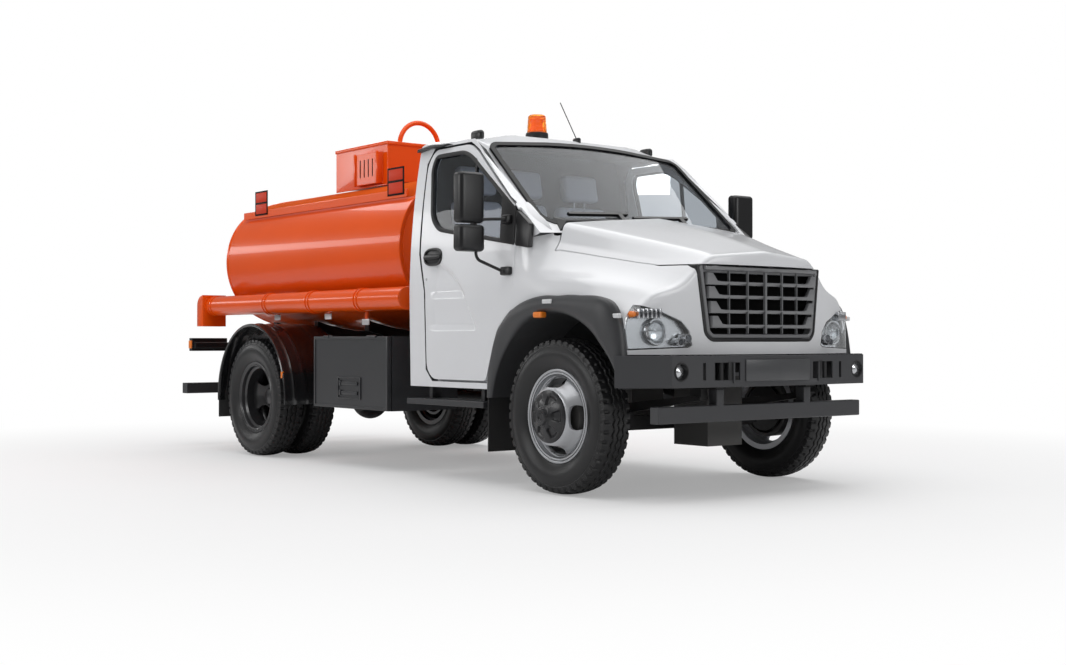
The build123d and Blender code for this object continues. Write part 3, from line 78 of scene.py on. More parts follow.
camera_data = bpy.data.cameras.new("camera")
camera_data.lens, camera_data.sensor_width = 48.12, 36
camera = linked("camera", camera_data)
camera.location = (-6.3936, -8.8678, 0.9372)
camera.rotation_euler = (radians(90.30), 0, radians(-37.883))
scene.camera = camera

world = bpy.data.worlds.new("studio")
world.use_nodes = True
scene.world = world
tree = world.node_tree
backdrop, rays = tree.nodes["Background"], tree.nodes.new("ShaderNodeLightPath")
seen = tree.nodes.new("ShaderNodeMath")
seen.operation = "MAXIMUM"
tree.links.new(rays.outputs["Is Camera Ray"], seen.inputs[0])
tree.links.new(rays.outputs["Is Transmission Ray"], seen.inputs[1])
lift = tree.nodes.new("ShaderNodeMapRange")
lift.inputs["To Min"].default_value, lift.inputs["To Max"].default_value = 0.22, 1.0
tree.links.new(seen.outputs[0], lift.inputs["Value"])
tree.links.new(lift.outputs[0], backdrop.inputs["Strength"])
backdrop.inputs["Color"].default_value = (1, 1, 1, 1)


def lamp(name, place, aim, width, power, height):
    """Rectangular soft light at place that faces aim."""
    data = bpy.data.lights.new(name, "AREA")
    data.shape, data.size, data.size_y, data.energy = "RECTANGLE", width, height, power
    light = linked(name, data)
    direction = np.array(aim, float) - np.array(place, float)
    light.location = place
    light.rotation_euler = (
        np.arccos(-direction[2] / np.linalg.norm(direction)), 0,
        np.arctan2(direction[1], direction[0]) - pi / 2)


lamp("ceiling", (0.8, -1.2, 7.5), (0.8, 0.2, 0), 13, 620, 8)
lamp("right_panel", (-9, 1.0, 3.6), (0, 0.5, 1.2), 6, 150, 1.6)
lamp("front_panel", (1.5, -10, 3.4), (0, -1.5, 1.0), 5, 130, 2.0)
lamp("low_strip", (-6.2, 11.0, 3.9), (-0.9, 1.5, 1.6), 9, 105, 1.1)
lamp("high_strip", (-3.4, 6.5, 7.2), (-0.8, 1.5, 1.9), 7, 95, 1.6)
lamp("back_panel", (5.5, 8, 4.5), (0, 1, 1.2), 6, 240, 3)

floor_mesh = bpy.data.meshes.new("floor")
floor_mesh.from_pydata([(x, y, 0) for x, y in ((-60, -60), (60, -60), (60, 60), (-60, 60))], [],
                       [(0, 1, 2, 3)])
floor = linked("floor", floor_mesh)
floor_paint = bpy.data.materials.new("studio_floor")
floor_paint.use_nodes = True
tree = floor_paint.node_tree
matt = tree.nodes["Principled BSDF"]
matt.inputs["Base Color"].default_value = (0.84, 0.84, 0.845, 1)
matt.inputs["Roughness"].default_value = 0.85
matt.inputs["Specular IOR Level"].default_value = 0.15
glow, blend = tree.nodes.new("ShaderNodeEmission"), tree.nodes.new("ShaderNodeMixShader")
place, reach = tree.nodes.new("ShaderNodeTexCoord"), tree.nodes.new("ShaderNodeVectorMath")
reach.operation = "LENGTH"
fade, rays = tree.nodes.new("ShaderNodeMapRange"), tree.nodes.new("ShaderNodeLightPath")
fade.interpolation_type = "SMOOTHSTEP"
fade.inputs["From Min"].default_value, fade.inputs["From Max"].default_value = 2.5, 7.0
fade.inputs["To Min"].default_value = 0.30
only_seen = tree.nodes.new("ShaderNodeMath")
only_seen.operation = "MULTIPLY"
tree.links.new(place.outputs["Object"], reach.inputs[0])
tree.links.new(reach.outputs["Value"], fade.inputs["Value"])
tree.links.new(fade.outputs[0], only_seen.inputs[0])
tree.links.new(rays.outputs["Is Camera Ray"], only_seen.inputs[1])
tree.links.new(only_seen.outputs[0], blend.inputs[0])
tree.links.new(matt.outputs[0], blend.inputs[1])
tree.links.new(glow.outputs[0], blend.inputs[2])
tree.links.new(blend.outputs[0], tree.nodes["Material Output"].inputs["Surface"])
floor_mesh.materials.append(floor_paint)


# ================================================================ chassis
# Pressed steel rails, leaf springs, axles and drive line, painted satin black.
# They keep their solids; only the finish is added, with fine orange peel and a film of dust.
def surface_group():
    """Group for every hard finish: two tones by a broad noise, roughness by a fine one,
    a bump from the fine noise, and dust that thins out with height."""
    group = bpy.data.node_groups.new("hard_surface", "ShaderNodeTree")
    for label, kind, value in (
            ("Colour", "NodeSocketColor", (0.5, 0.5, 0.5, 1)),
            ("Shade", "NodeSocketColor", (0.4, 0.4, 0.4, 1)),
            ("Scale", "NodeSocketFloat", 120), ("Rough Low", "NodeSocketFloat", 0.3),
            ("Rough High", "NodeSocketFloat", 0.5), ("Bump", "NodeSocketFloat", 0.1),
            ("Dust", "NodeSocketFloat", 0.0)):
        group.interface.new_socket(label, in_out="INPUT", socket_type=kind).default_value = value
    for label, kind in (("Colour", "NodeSocketColor"), ("Roughness", "NodeSocketFloat"),
                        ("Normal", "NodeSocketVector")):
        group.interface.new_socket(label, in_out="OUTPUT", socket_type=kind)
    new, link = group.nodes.new, group.links.new
    given, result, place = new("NodeGroupInput"), new("NodeGroupOutput"), new("ShaderNodeTexCoord")
    fine, broad = new("ShaderNodeTexNoise"), new("ShaderNodeTexNoise")
    broad.inputs["Scale"].default_value = 1.7
    broad.inputs["Detail"].default_value = 4
    link(place.outputs["Object"], fine.inputs["Vector"])
    link(place.outputs["Object"], broad.inputs["Vector"])
    link(given.outputs["Scale"], fine.inputs["Scale"])
    tones = new("ShaderNodeMix")
    tones.data_type = "RGBA"
    link(broad.outputs["Fac"], tones.inputs["Factor"])
    link(given.outputs["Colour"], tones.inputs["A"])
    link(given.outputs["Shade"], tones.inputs["B"])
    split, low = new("ShaderNodeSeparateXYZ"), new("ShaderNodeMapRange")
    link(place.outputs["Object"], split.inputs[0])
    link(split.outputs["Z"], low.inputs["Value"])
    low.inputs["From Min"].default_value, low.inputs["From Max"].default_value = 0.0, 1.3
    low.inputs["To Min"].default_value, low.inputs["To Max"].default_value = 1.0, 0.0
    patchy, film = new("ShaderNodeMath"), new("ShaderNodeMath")
    patchy.operation = film.operation = "MULTIPLY"
    link(low.outputs[0], patchy.inputs[0])
    link(broad.outputs["Fac"], patchy.inputs[1])
    link(patchy.outputs[0], film.inputs[0])
    link(given.outputs["Dust"], film.inputs[1])
    dusty = new("ShaderNodeMix")
    dusty.data_type = "RGBA"
    link(film.outputs[0], dusty.inputs["Factor"])
    link(tones.outputs["Result"], dusty.inputs["A"])
    dusty.inputs["B"].default_value = (0.30, 0.285, 0.26, 1)
    rough, relief = new("ShaderNodeMapRange"), new("ShaderNodeBump")
    link(fine.outputs["Fac"], rough.inputs["Value"])
    link(given.outputs["Rough Low"], rough.inputs["To Min"])
    link(given.outputs["Rough High"], rough.inputs["To Max"])
    link(fine.outputs["Fac"], relief.inputs["Height"])
    link(given.outputs["Bump"], relief.inputs["Strength"])
    relief.inputs["Distance"].default_value = 0.001
    link(dusty.outputs["Result"], result.inputs["Colour"])
    link(rough.outputs[0], result.inputs["Roughness"])
    link(relief.outputs[0], result.inputs["Normal"])
    return group


hard_surface = surface_group()


def surface_material(name, colour, shade, rough, scale, bump, dust):
    """Material whose colour and roughness come from the hard surface group."""
    material = bpy.data.materials.new(name)
    material.use_nodes = True
    nodes, link = material.node_tree.nodes, material.node_tree.links.new
    skin, life = nodes["Principled BSDF"], nodes.new("ShaderNodeGroup")
    life.node_tree = hard_surface
    for label, value in (("Colour", (*colour, 1)), ("Shade", (*shade, 1)), ("Scale", scale),
                         ("Rough Low", rough[0]), ("Rough High", rough[1]), ("Bump", bump),
                         ("Dust", dust)):
        life.inputs[label].default_value = value
    link(life.outputs["Colour"], skin.inputs["Base Color"])
    link(life.outputs["Roughness"], skin.inputs["Roughness"])
    return material, skin, life


def finish(name, colour, shade, rough, scale, bump, dust=0.0, metallic=0.0, coat=0.0, specular=0.5):
    """Opaque finish with the group's relief. Without a shade, its second tone is the first
    one a little darker."""
    shade = shade or tuple(0.88 * c for c in colour)
    material, skin, life = surface_material(name, colour, shade, rough, scale, bump, dust)
    material.node_tree.links.new(life.outputs["Normal"], skin.inputs["Normal"])
    skin.inputs["Metallic"].default_value = metallic
    skin.inputs["Coat Weight"].default_value = coat
    skin.inputs["Coat Roughness"].default_value = 0.04
    skin.inputs["Specular IOR Level"].default_value = specular
    return material


chassis_paint = finish("chassis_paint", (0.012, 0.012, 0.013), (0.018, 0.018, 0.018), (0.32, 0.50),
                       90, 0.12, dust=0.05, specular=0.4)
casting = finish("iron_casting", (0.07, 0.07, 0.072), (0.05, 0.048, 0.045), (0.5, 0.75), 220, 0.5, 0.2)
alloy = finish("radiator_alloy", (0.20, 0.20, 0.21), None, (0.4, 0.6), 300, 0.3, metallic=0.6)


def body_of(node):
    """Body that a CAD node rides on."""
    return frame["nodes"][node]["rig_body"]


def keep_solid(node, material):
    """The CAD solid stays, with a better finish."""
    solid = frame["nodes"][node]
    solid.data.materials.clear()
    solid.data.materials.append(material)


def ease(mesh, angle):
    """Smooth shading, split where two faces meet at more than angle."""
    mesh.polygons.foreach_set("use_smooth", np.ones(len(mesh.polygons), bool))
    mesh.set_sharp_from_angle(angle=radians(angle))


def place_piece(piece, body, material, replaced=()):
    """Gives a piece its material and body, and hides the CAD nodes that it stands for."""
    piece.data.materials.clear()
    piece.data.materials.append(material)
    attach(piece, body)
    if replaced:
        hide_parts(*replaced)
    return piece


SHARP_EDGE = 30         # degrees between two faces of a CAD solid


def eased_copy(node, material, bevel, name=None):
    """Copy of a CAD solid with its triangles joined to flat faces and its edges rounded."""
    mesh = frame["nodes"][node].data.copy()
    shape = bmesh.new()
    shape.from_mesh(mesh)
    bmesh.ops.remove_doubles(shape, verts=shape.verts, dist=2e-5)
    bmesh.ops.dissolve_limit(shape, angle_limit=radians(0.6), verts=shape.verts, edges=shape.edges)
    shape.to_mesh(mesh)
    shape.free()
    piece = linked(name or node + "_body", mesh)
    ease(mesh, SHARP_EDGE)
    if bevel:
        rounding = piece.modifiers.new("edges", "BEVEL")
        rounding.width, rounding.segments = bevel, 2
        rounding.limit_method, rounding.angle_limit = "ANGLE", radians(SHARP_EDGE)
        rounding.harden_normals = True
        rounding.use_clamp_overlap = True
    return place_piece(piece, body_of(node), material, (node,))


for node in ("frame_rails", "leaf_springs", "front_axle", "rear_axle", "knuckle_right",
             "knuckle_left", "prop_shaft", "tank_saddles"):
    keep_solid(node, chassis_paint)
keep_solid("engine_block", casting)
keep_solid("radiator", alloy)


# ================================================================ tyres
# Radial truck tyres: a round sidewall with fine rings, small pads round the shoulder, three
# zigzag grooves round the tread and slots that open over its edges.
def mesh_piece(name, points, faces):
    """Object whose mesh has these points and faces."""
    mesh = bpy.data.meshes.new(name)
    mesh.from_pydata(points.reshape(-1, 3).tolist(), [], faces)
    return linked(name, mesh)


def quads(rows, columns, wrap):
    """Faces between neighbouring points of a grid; wrap joins a last row or column to the first."""
    index = np.arange(rows * columns).reshape(rows, columns)
    if wrap[0]:
        index = np.vstack([index, index[:1]])
    if wrap[1]:
        index = np.hstack([index, index[:, :1]])
    corners = [index[:-1, :-1], index[1:, :-1], index[1:, 1:], index[:-1, 1:]]
    return np.stack(corners, -1).reshape(-1, 4)


def grid_mesh(name, points, wrap=(False, False), flip=False):
    """Quads through a grid of points P[i, j]; flip turns the faces over."""
    faces = quads(*points.shape[:2], wrap)
    return mesh_piece(name, points, (faces[:, ::-1] if flip else faces).tolist())


def tidy(piece, angle=32):
    """Doubles merged, flat faces dropped and normals turned outwards."""
    shape = bmesh.new()
    shape.from_mesh(piece.data)
    bmesh.ops.remove_doubles(shape, verts=shape.verts, dist=1e-5)
    bmesh.ops.dissolve_degenerate(shape, edges=shape.edges, dist=1e-6)
    bmesh.ops.recalc_face_normals(shape, faces=shape.faces)
    shape.to_mesh(piece.data)
    shape.free()
    ease(piece.data, angle)
    return piece


def joined(name, pieces, angle=None):
    """Several meshes as one piece, with its shading split at angle."""
    shape = bmesh.new()
    for piece in pieces:
        shape.from_mesh(piece.data)
    mesh = bpy.data.meshes.new(name)
    shape.to_mesh(mesh)
    shape.free()
    for piece in pieces:
        old = piece.data
        bpy.data.objects.remove(piece)
        bpy.data.meshes.remove(old)
    if angle:
        ease(mesh, angle)
    return linked(name, mesh)


def smooth_step(x, low, high):
    """0 below low, 1 above high, and a smooth cubic rise between them."""
    t = np.clip((x - low) / (high - low), 0, 1)
    return t * t * (3 - 2 * t)


TYRE_RADIUS = 0.475
TREAD_PITCHES = 48
TREAD_EDGE = 0.4605     # radius past which the tread lies
FRONT_TRACK, OUTER_TRACK, INNER_TRACK = 0.899, 0.996, 0.706     # middles of the tyres
REAR_HUB = 0.851        # middle of each twin pair
rubber = finish("tyre_rubber", (0.006, 0.006, 0.007), (0.010, 0.010, 0.011), (0.33, 0.45), 260, 0.15,
                dust=0.03, specular=0.42)


def tyre(name, centre_x, station, steps):
    """Grid of angle by outline: the outline runs from bead to bead over the tread, and the
    radius drops by the groove depth where the zigzags and edge slots lie. There are so many
    steps to each pitch of the tread."""
    sidewall = np.array([(0.078, 0.275), (0.079, 0.286), (0.086, 0.292), (0.092, 0.302),
                         (0.0985, 0.313), (0.1065, 0.330), (0.1135, 0.348), (0.1172, 0.366),
                         (0.1172, 0.381), (0.1145, 0.398), (0.1090, 0.414), (0.1040, 0.424),
                         (0.1056, 0.427), (0.1056, 0.431), (0.1035, 0.434), (0.1040, 0.441),
                         (0.1030, 0.450), (0.1000, 0.4570)])
    across = np.linspace(0.0975, -0.0975, 43 if steps > 8 else 25)
    crown = np.stack([across, TYRE_RADIUS - 0.0125 * (np.abs(across) / 0.0975) ** 2.4], 1)
    outline = np.vstack([sidewall, crown, sidewall[::-1] * (-1, 1)])
    angle = np.arange(TREAD_PITCHES * steps) / (TREAD_PITCHES * steps) * tau
    u, r = outline[None, :, 0], outline[None, :, 1]
    phase = (angle[:, None] / tau * TREAD_PITCHES) % 1
    zigzag = np.abs(phase - 0.5) * 4 - 1
    depth = np.zeros((len(angle), len(outline)))
    on_tread = r > TREAD_EDGE
    for middle, swing in ((0.0, 0.0065), (0.036, -0.0065), (-0.036, 0.0065)):
        gap = np.abs(u - middle - swing * zigzag)
        depth = np.maximum(depth, 0.011 * (1 - smooth_step(gap, 0.0025, 0.0055)) * on_tread)
    slot = np.abs((phase + 0.25) % 1 - 0.5)
    edge = smooth_step(np.abs(u), 0.062, 0.070) * (r > 0.440)
    depth = np.maximum(depth, 0.010 * (1 - smooth_step(slot, 0.13, 0.19)) * edge)
    depth = depth + 0.0025 * (slot < 0.42) * (slot > 0.30) * edge * (r < 0.462)
    sink = np.where(on_tread, depth, 0)
    inward = np.where(on_tread, 0, depth * 0.75)
    radius = r - sink
    side_u = u - np.sign(u) * inward
    points = np.stack([centre_x + side_u + 0 * radius,
                       AXLE + station + radius * np.cos(angle)[:, None],
                       TYRE_RADIUS + radius * np.sin(angle)[:, None]], -1)
    return grid_mesh(name, points, wrap=(True, True))


for label, side in SIDES.items():
    front = tidy(tyre(f"front_tyre_{label}", side * FRONT_TRACK, 0, 12), 40)
    place_piece(front, f"front_wheel_{label}", rubber, (f"tyre_front_{label}",))
    pair = joined(f"rear_tyres_{label}", [
        tyre("outer", side * OUTER_TRACK, REAR_AXLE, 12),
        tyre("inner", side * INNER_TRACK, REAR_AXLE, 8)])
    place_piece(tidy(pair, 40), f"rear_wheels_{label}", rubber, (f"tyres_rear_{label}",))


# ================================================================ wheels
# Steel disc wheels with a lock ring and four hand holes: silver in front with a black
# six-lobed hub cover, dark behind with the disc set deep.
def turned(name, outline, centre_x, station, side, count):
    """Closed outline (outboard distance, radius) turned about the wheel's axle."""
    u, r = np.array(outline, float).T
    angle = np.arange(count) / count * tau
    points = np.stack([np.broadcast_to(centre_x + side * u, (count, len(u))),
                       AXLE + station + np.outer(np.cos(angle), r),
                       TYRE_RADIUS + np.outer(np.sin(angle), r)], -1)
    return grid_mesh(name, points, wrap=(True, True))


def evaluated(piece):
    """Mesh of a piece with its modifiers applied."""
    bpy.context.view_layer.update()
    graph = bpy.context.evaluated_depsgraph_get()
    mesh = bpy.data.meshes.new_from_object(piece.evaluated_get(graph))
    piece.modifiers.clear()
    piece.data = mesh
    return piece


def cut(piece, tool, operation="DIFFERENCE"):
    """Boolean of a closed piece with a closed tool, applied at once."""
    step = piece.modifiers.new("cut", "BOOLEAN")
    step.object, step.operation, step.solver = tool, operation, "MANIFOLD"
    evaluated(piece)
    bpy.data.objects.remove(tool)
    return piece


def rounded(corners, radius, steps=5):
    """Closed outline whose corners are replaced by arcs cut back by radius."""
    corners = np.array(corners, float)
    before, after = np.roll(corners, 1, 0), np.roll(corners, -1, 0)
    radii = np.broadcast_to(radius, len(corners))[:, None]
    to_before, to_after = before - corners, after - corners
    reach_a, reach_b = np.linalg.norm(to_before, axis=1), np.linalg.norm(to_after, axis=1)
    back = np.minimum(radii, 0.45 * np.minimum(reach_a, reach_b)[:, None])
    start = corners + to_before / reach_a[:, None] * back
    end = corners + to_after / reach_b[:, None] * back
    t = np.linspace(0, 1, steps)[None, :, None]
    curve = (1 - t) ** 2 * start[:, None] + 2 * t * (1 - t) * corners[:, None] + t ** 2 * end[:, None]
    return curve.reshape(-1, 2)


PLANES = {"x": (1, 2, 0), "y": (0, 2, 1), "z": (0, 1, 2)}     # two axes of an outline, then its own


def outward(outline):
    """Unit normals of a closed outline that point away from its inside."""
    around = np.roll(outline, -1, 0) - np.roll(outline, 1, 0)
    normal = np.stack([around[:, 1], -around[:, 0]], 1)
    normal /= np.linalg.norm(normal, axis=1)[:, None] + 1e-12
    area = np.sum(outline[:, 0] * np.roll(outline[:, 1], -1)
                  - np.roll(outline[:, 0], -1) * outline[:, 1])
    return normal * np.sign(area)


def prism(name, outline, axis, low, high, shift=0.0, bevel=0.0, bevel_steps=3):
    """Closed prism of an outline. Its ends lie at low and high on axis, and bevel rounds the
    rims by drawing the end loops in along the outline's normals."""
    outline = np.array(outline, float)
    first, second, third = PLANES[axis]
    drawn, level = np.zeros(2), np.array([low, high])
    if bevel:
        turn = np.linspace(0, pi / 2, bevel_steps)
        drawn = np.concatenate([bevel * (1 - np.sin(turn)), bevel * (1 - np.cos(turn))])
        level = np.concatenate([low + bevel * (1 - np.cos(turn)), high - bevel * (1 - np.sin(turn))])
    loops = outline[None] - drawn[:, None, None] * outward(outline)[None]
    points = np.zeros((*loops.shape[:2], 3))
    points[..., first], points[..., second] = loops[..., 0], loops[..., 1]
    points[..., third] = level[:, None]
    points[..., 1] += AXLE + shift
    n, m = points.shape[:2]
    faces = quads(n, m, (False, True)).tolist() + [list(range(m)), list(range((n - 1) * m, n * m))]
    return tidy(mesh_piece(name, points, faces))


def slot_outline(middle_r, turn, length, width):
    """Rounded slot across the radius at turn, in the plane of the wheel."""
    along = np.array([-np.sin(turn), np.cos(turn)])
    out = np.array([np.cos(turn), np.sin(turn)])
    corners = [out * (middle_r + v * width / 2) + along * u * length / 2
               for u, v in ((-1, -0.9), (1, -0.9), (0.82, 1.0), (-0.82, 1.0))]
    return rounded(corners, width * 0.46, 7) + (0, TYRE_RADIUS)


wheel_silver = finish("wheel_silver", (0.50, 0.51, 0.53), (0.44, 0.45, 0.47), (0.28, 0.42), 300, 0.10,
                      dust=0.06, metallic=0.55, coat=0.2)
wheel_dark = finish("wheel_dark", (0.016, 0.016, 0.018), (0.022, 0.022, 0.024), (0.24, 0.38), 240, 0.08,
                    dust=0.04, coat=0.3)
hub_plastic = finish("hub_cover_plastic", (0.008, 0.008, 0.010), (0.012, 0.012, 0.014), (0.28, 0.38), 420,
                     0.03, coat=0.15)
RIM = [(-0.084, 0.284), (-0.076, 0.284), (-0.076, 0.257), (-0.050, 0.257), (-0.038, 0.240),
       (0.038, 0.240), (0.050, 0.257), (0.076, 0.257), (0.076, 0.280), (0.079, 0.286), (0.083, 0.287),
       (0.0855, 0.283), (0.0845, 0.277), (0.0800, 0.272), (0.0790, 0.267), (0.0815, 0.264),
       (0.0820, 0.259), (0.0790, 0.2545), (0.0700, 0.2520), (0.0540, 0.249), (0.042, 0.232),
       (-0.042, 0.232), (-0.054, 0.249), (-0.084, 0.249)]
DISC = [(0.030, 0.2385), (0.052, 0.2370), (0.066, 0.2290), (0.078, 0.2160), (0.104, 0.1990),
        (0.128, 0.1830), (0.141, 0.1700), (0.145, 0.1580), (0.145, 0.055), (0.135, 0.055),
        (0.135, 0.1560), (0.131, 0.1660), (0.119, 0.1770), (0.095, 0.1930), (0.068, 0.2090),
        (0.054, 0.2210), (0.040, 0.2290), (0.012, 0.2330)]


def disc_wheel(name, centre_x, station, side, facing, holes_turn=0.0):
    """Rim and dished disc with four hand holes; facing turns the dish in or out."""
    outline = [(facing * u, r) for u, r in DISC]
    disc = tidy(turned(name + "_disc", outline, centre_x, station, side, 120))
    ends = sorted((centre_x + side * facing * 0.020, centre_x + side * facing * 0.170))
    for k in range(4):
        hole = slot_outline(0.204, holes_turn + k * pi / 2, 0.160, 0.064)
        cut(disc, prism("slot", hole, "x", *ends, station))
    rim = turned(name + "_rim", RIM, centre_x, station, side, 128)
    return [tidy(rim), tidy(disc, 28)]


NUT_RADIUS, NUT_HEIGHT = 0.013, 0.020


def stud_ring(name, radius, count, face_x, side, station):
    """Hexagonal nuts in a ring: six-sided prisms, each with a rounded tip."""
    ends = sorted((face_x, face_x + side * NUT_HEIGHT))
    corner = np.arange(6) * tau / 6
    nuts = []
    for k in range(count):
        a = 0.2 + k * tau / count
        middle = np.array([radius * np.cos(a), TYRE_RADIUS + radius * np.sin(a)])
        hexagon = middle + NUT_RADIUS * np.stack([np.cos(corner + a), np.sin(corner + a)], 1)
        nuts.append(prism("nut", hexagon, "x", *ends, station, bevel=0.002, bevel_steps=2))
    return joined(name, nuts)


def hub_cover(name, face_x, side):
    """Polar surface: a shallow dome with six lobes, pockets between them and a domed cap."""
    r = np.concatenate([np.linspace(0, 0.058, 16), np.linspace(0.061, 0.160, 40)])
    a = np.arange(144) / 144 * tau
    rr, aa = np.meshgrid(r, a)
    lobe = 0.5 + 0.5 * np.cos(6 * aa + 0.4)
    dome = 0.006 + 0.042 * (1 - (rr / 0.160) ** 2.6)
    pocket = smooth_step(rr, 0.066, 0.082) * (1 - smooth_step(rr, 0.118, 0.146))
    dome = dome - 0.017 * pocket * smooth_step(lobe, 0.35, 0.60)
    cap = 0.020 * (1 - smooth_step(rr, 0.044, 0.054)) - 0.008 * (1 - smooth_step(rr, 0.018, 0.026))
    ring = 0.005 * smooth_step(rr, 0.052, 0.055) * (1 - smooth_step(rr, 0.060, 0.064))
    height = dome + cap + ring
    skirt = np.full((len(a), 1), -0.012)
    height = np.hstack([height, skirt])
    rr = np.hstack([rr, np.full((len(a), 1), 0.163)])
    aa = np.hstack([aa, aa[:, :1]])
    points = np.stack([face_x + side * height, AXLE + rr * np.cos(aa), TYRE_RADIUS + rr * np.sin(aa)], -1)
    return tidy(grid_mesh(name, points, wrap=(True, False)), 24)


for label, side in SIDES.items():
    body = f"front_wheel_{label}"
    parts = disc_wheel("front", side * FRONT_TRACK, 0, side, 1)
    wheel = joined(f"front_wheel_{label}_steel", parts, 28)
    place_piece(wheel, body, wheel_silver, (f"wheel_front_{label}",))
    lines = joined(f"front_rim_lines_{label}", [tidy(turned("line", [
        (u - 0.002, r), (u + 0.0012, r), (u + 0.0012, r + 0.0028), (u - 0.002, r + 0.0028)],
        side * FRONT_TRACK, 0, side, 128))
        for u, r in ((0.0800, 0.2685), (0.0790, 0.2530), (0.0480, 0.2400))])
    place_piece(lines, body, hub_plastic)
    cover = hub_cover(f"front_hub_cover_{label}", side * 1.043, side)
    place_piece(cover, body, hub_plastic)
    drum = tidy(turned(f"front_drum_{label}", [
        (-0.057, 0.173), (-0.057, 0.195), (-0.045, 0.198), (0.050, 0.195), (0.062, 0.188),
        (0.064, 0.075), (0.046, 0.075), (0.046, 0.173)], side * FRONT_TRACK, 0, side, 64))
    place_piece(drum, body, casting)

    body = f"rear_wheels_{label}"
    parts = disc_wheel("outer", side * OUTER_TRACK, REAR_AXLE, side, -1, 0.8)
    parts += disc_wheel("inner", side * INNER_TRACK, REAR_AXLE, side, 1, 0.8)
    parts.append(stud_ring("nuts", 0.111, 6, side * 0.861, side, REAR_AXLE))
    parts.append(tidy(turned("hub", [
        (0.010, 0.001), (0.010, 0.094), (0.060, 0.088), (0.094, 0.080), (0.100, 0.066), (0.112, 0.060),
        (0.118, 0.040), (0.119, 0.001)], side * REAR_HUB, REAR_AXLE, side, 48), 35))
    parts.append(tidy(turned("drum", [
        (-0.205, 0.173), (-0.205, 0.195), (-0.045, 0.195), (-0.045, 0.095), (-0.060, 0.095),
        (-0.060, 0.173)], side * REAR_HUB, REAR_AXLE, side, 64)))
    wheel = joined(f"rear_wheels_{label}_steel", parts, 28)
    place_piece(wheel, body, wheel_dark, (f"wheels_rear_{label}",))


# ================================================================ nose
# Bonnet and wings are one family of pressed panels in gloss white. The outer form is a loft:
# a half section runs from the sill over the wing's shoulder and the bonnet's edge to the middle.
white_paint = finish("gloss_white", (0.78, 0.79, 0.81), (0.75, 0.76, 0.785), (0.20, 0.27), 40, 0.01,
                     coat=0.4)
NOSE_STATIONS = np.array([0.420, 0.330, 0.250, 0.155, -0.100, -0.330, -0.500, -0.680, -0.850])
NOSE_SECTIONS = np.array([
    # x and z of: arch top, shoulder crease, shelf, bonnet seam, crown edge, middle
    [(1.005, 1.24), (1.000, 1.330), (0.993, 1.50), (0.972, 1.750), (0.905, 1.838), (0, 1.860)],
    [(1.005, 1.24), (1.000, 1.329), (0.992, 1.48), (0.974, 1.705), (0.908, 1.775), (0, 1.810)],
    [(1.005, 1.23), (0.999, 1.327), (0.990, 1.46), (0.968, 1.665), (0.888, 1.725), (0, 1.770)],
    [(1.005, 1.22), (0.996, 1.322), (0.945, 1.415), (0.858, 1.560), (0.836, 1.680), (0, 1.742)],
    [(1.005, 1.20), (0.985, 1.315), (0.880, 1.39), (0.762, 1.506), (0.712, 1.625), (0, 1.680)],
    [(1.005, 1.18), (0.962, 1.300), (0.800, 1.36), (0.675, 1.460), (0.605, 1.564), (0, 1.622)],
    [(1.003, 1.15), (0.915, 1.272), (0.735, 1.33), (0.612, 1.425), (0.530, 1.520), (0, 1.574)],
    [(0.975, 1.11), (0.845, 1.238), (0.670, 1.295), (0.552, 1.398), (0.460, 1.474), (0, 1.515)],
    [(0.945, 1.06), (0.790, 1.190), (0.610, 1.245), (0.500, 1.368), (0.410, 1.425), (0, 1.460)]])
SILL = np.broadcast_to([(0, 0.60), (1.005, 0.60)], (len(NOSE_SECTIONS), 2, 2))
NOSE_SECTIONS = np.concatenate([SILL, NOSE_SECTIONS], 1)
NOSE_SOFTNESS = np.array([0.0, 0.0, 0.055, 0.030, 0.075, 0.014, 0.045, 0.0])


def bow(x):
    """Plan line of the front: a parabola through (0.95, -0.62) and (0, -0.80)."""
    return -0.800 + 0.1995 * x ** 2


def half_section(corners):
    """Points along a section: straight runs between corners that are eased by softness."""
    out = []
    for k in range(len(corners) - 1):
        a, b = corners[k], corners[k + 1]
        run = np.linalg.norm(b - a, axis=-1, keepdims=True)
        start = a + (b - a) / run * np.minimum(NOSE_SOFTNESS[k], 0.45 * run)
        stop = b - (b - a) / run * np.minimum(NOSE_SOFTNESS[k + 1], 0.45 * run)
        if k:
            t = np.linspace(0, 1, 6)[1:-1, None, None]
            out.append((1 - t) ** 2 * last + 2 * t * (1 - t) * a + t ** 2 * start)
        t = np.linspace(0, 1, 12)[:, None, None]
        out.append(start + t * (stop - start))
        last = stop
    return np.concatenate(out, 0)


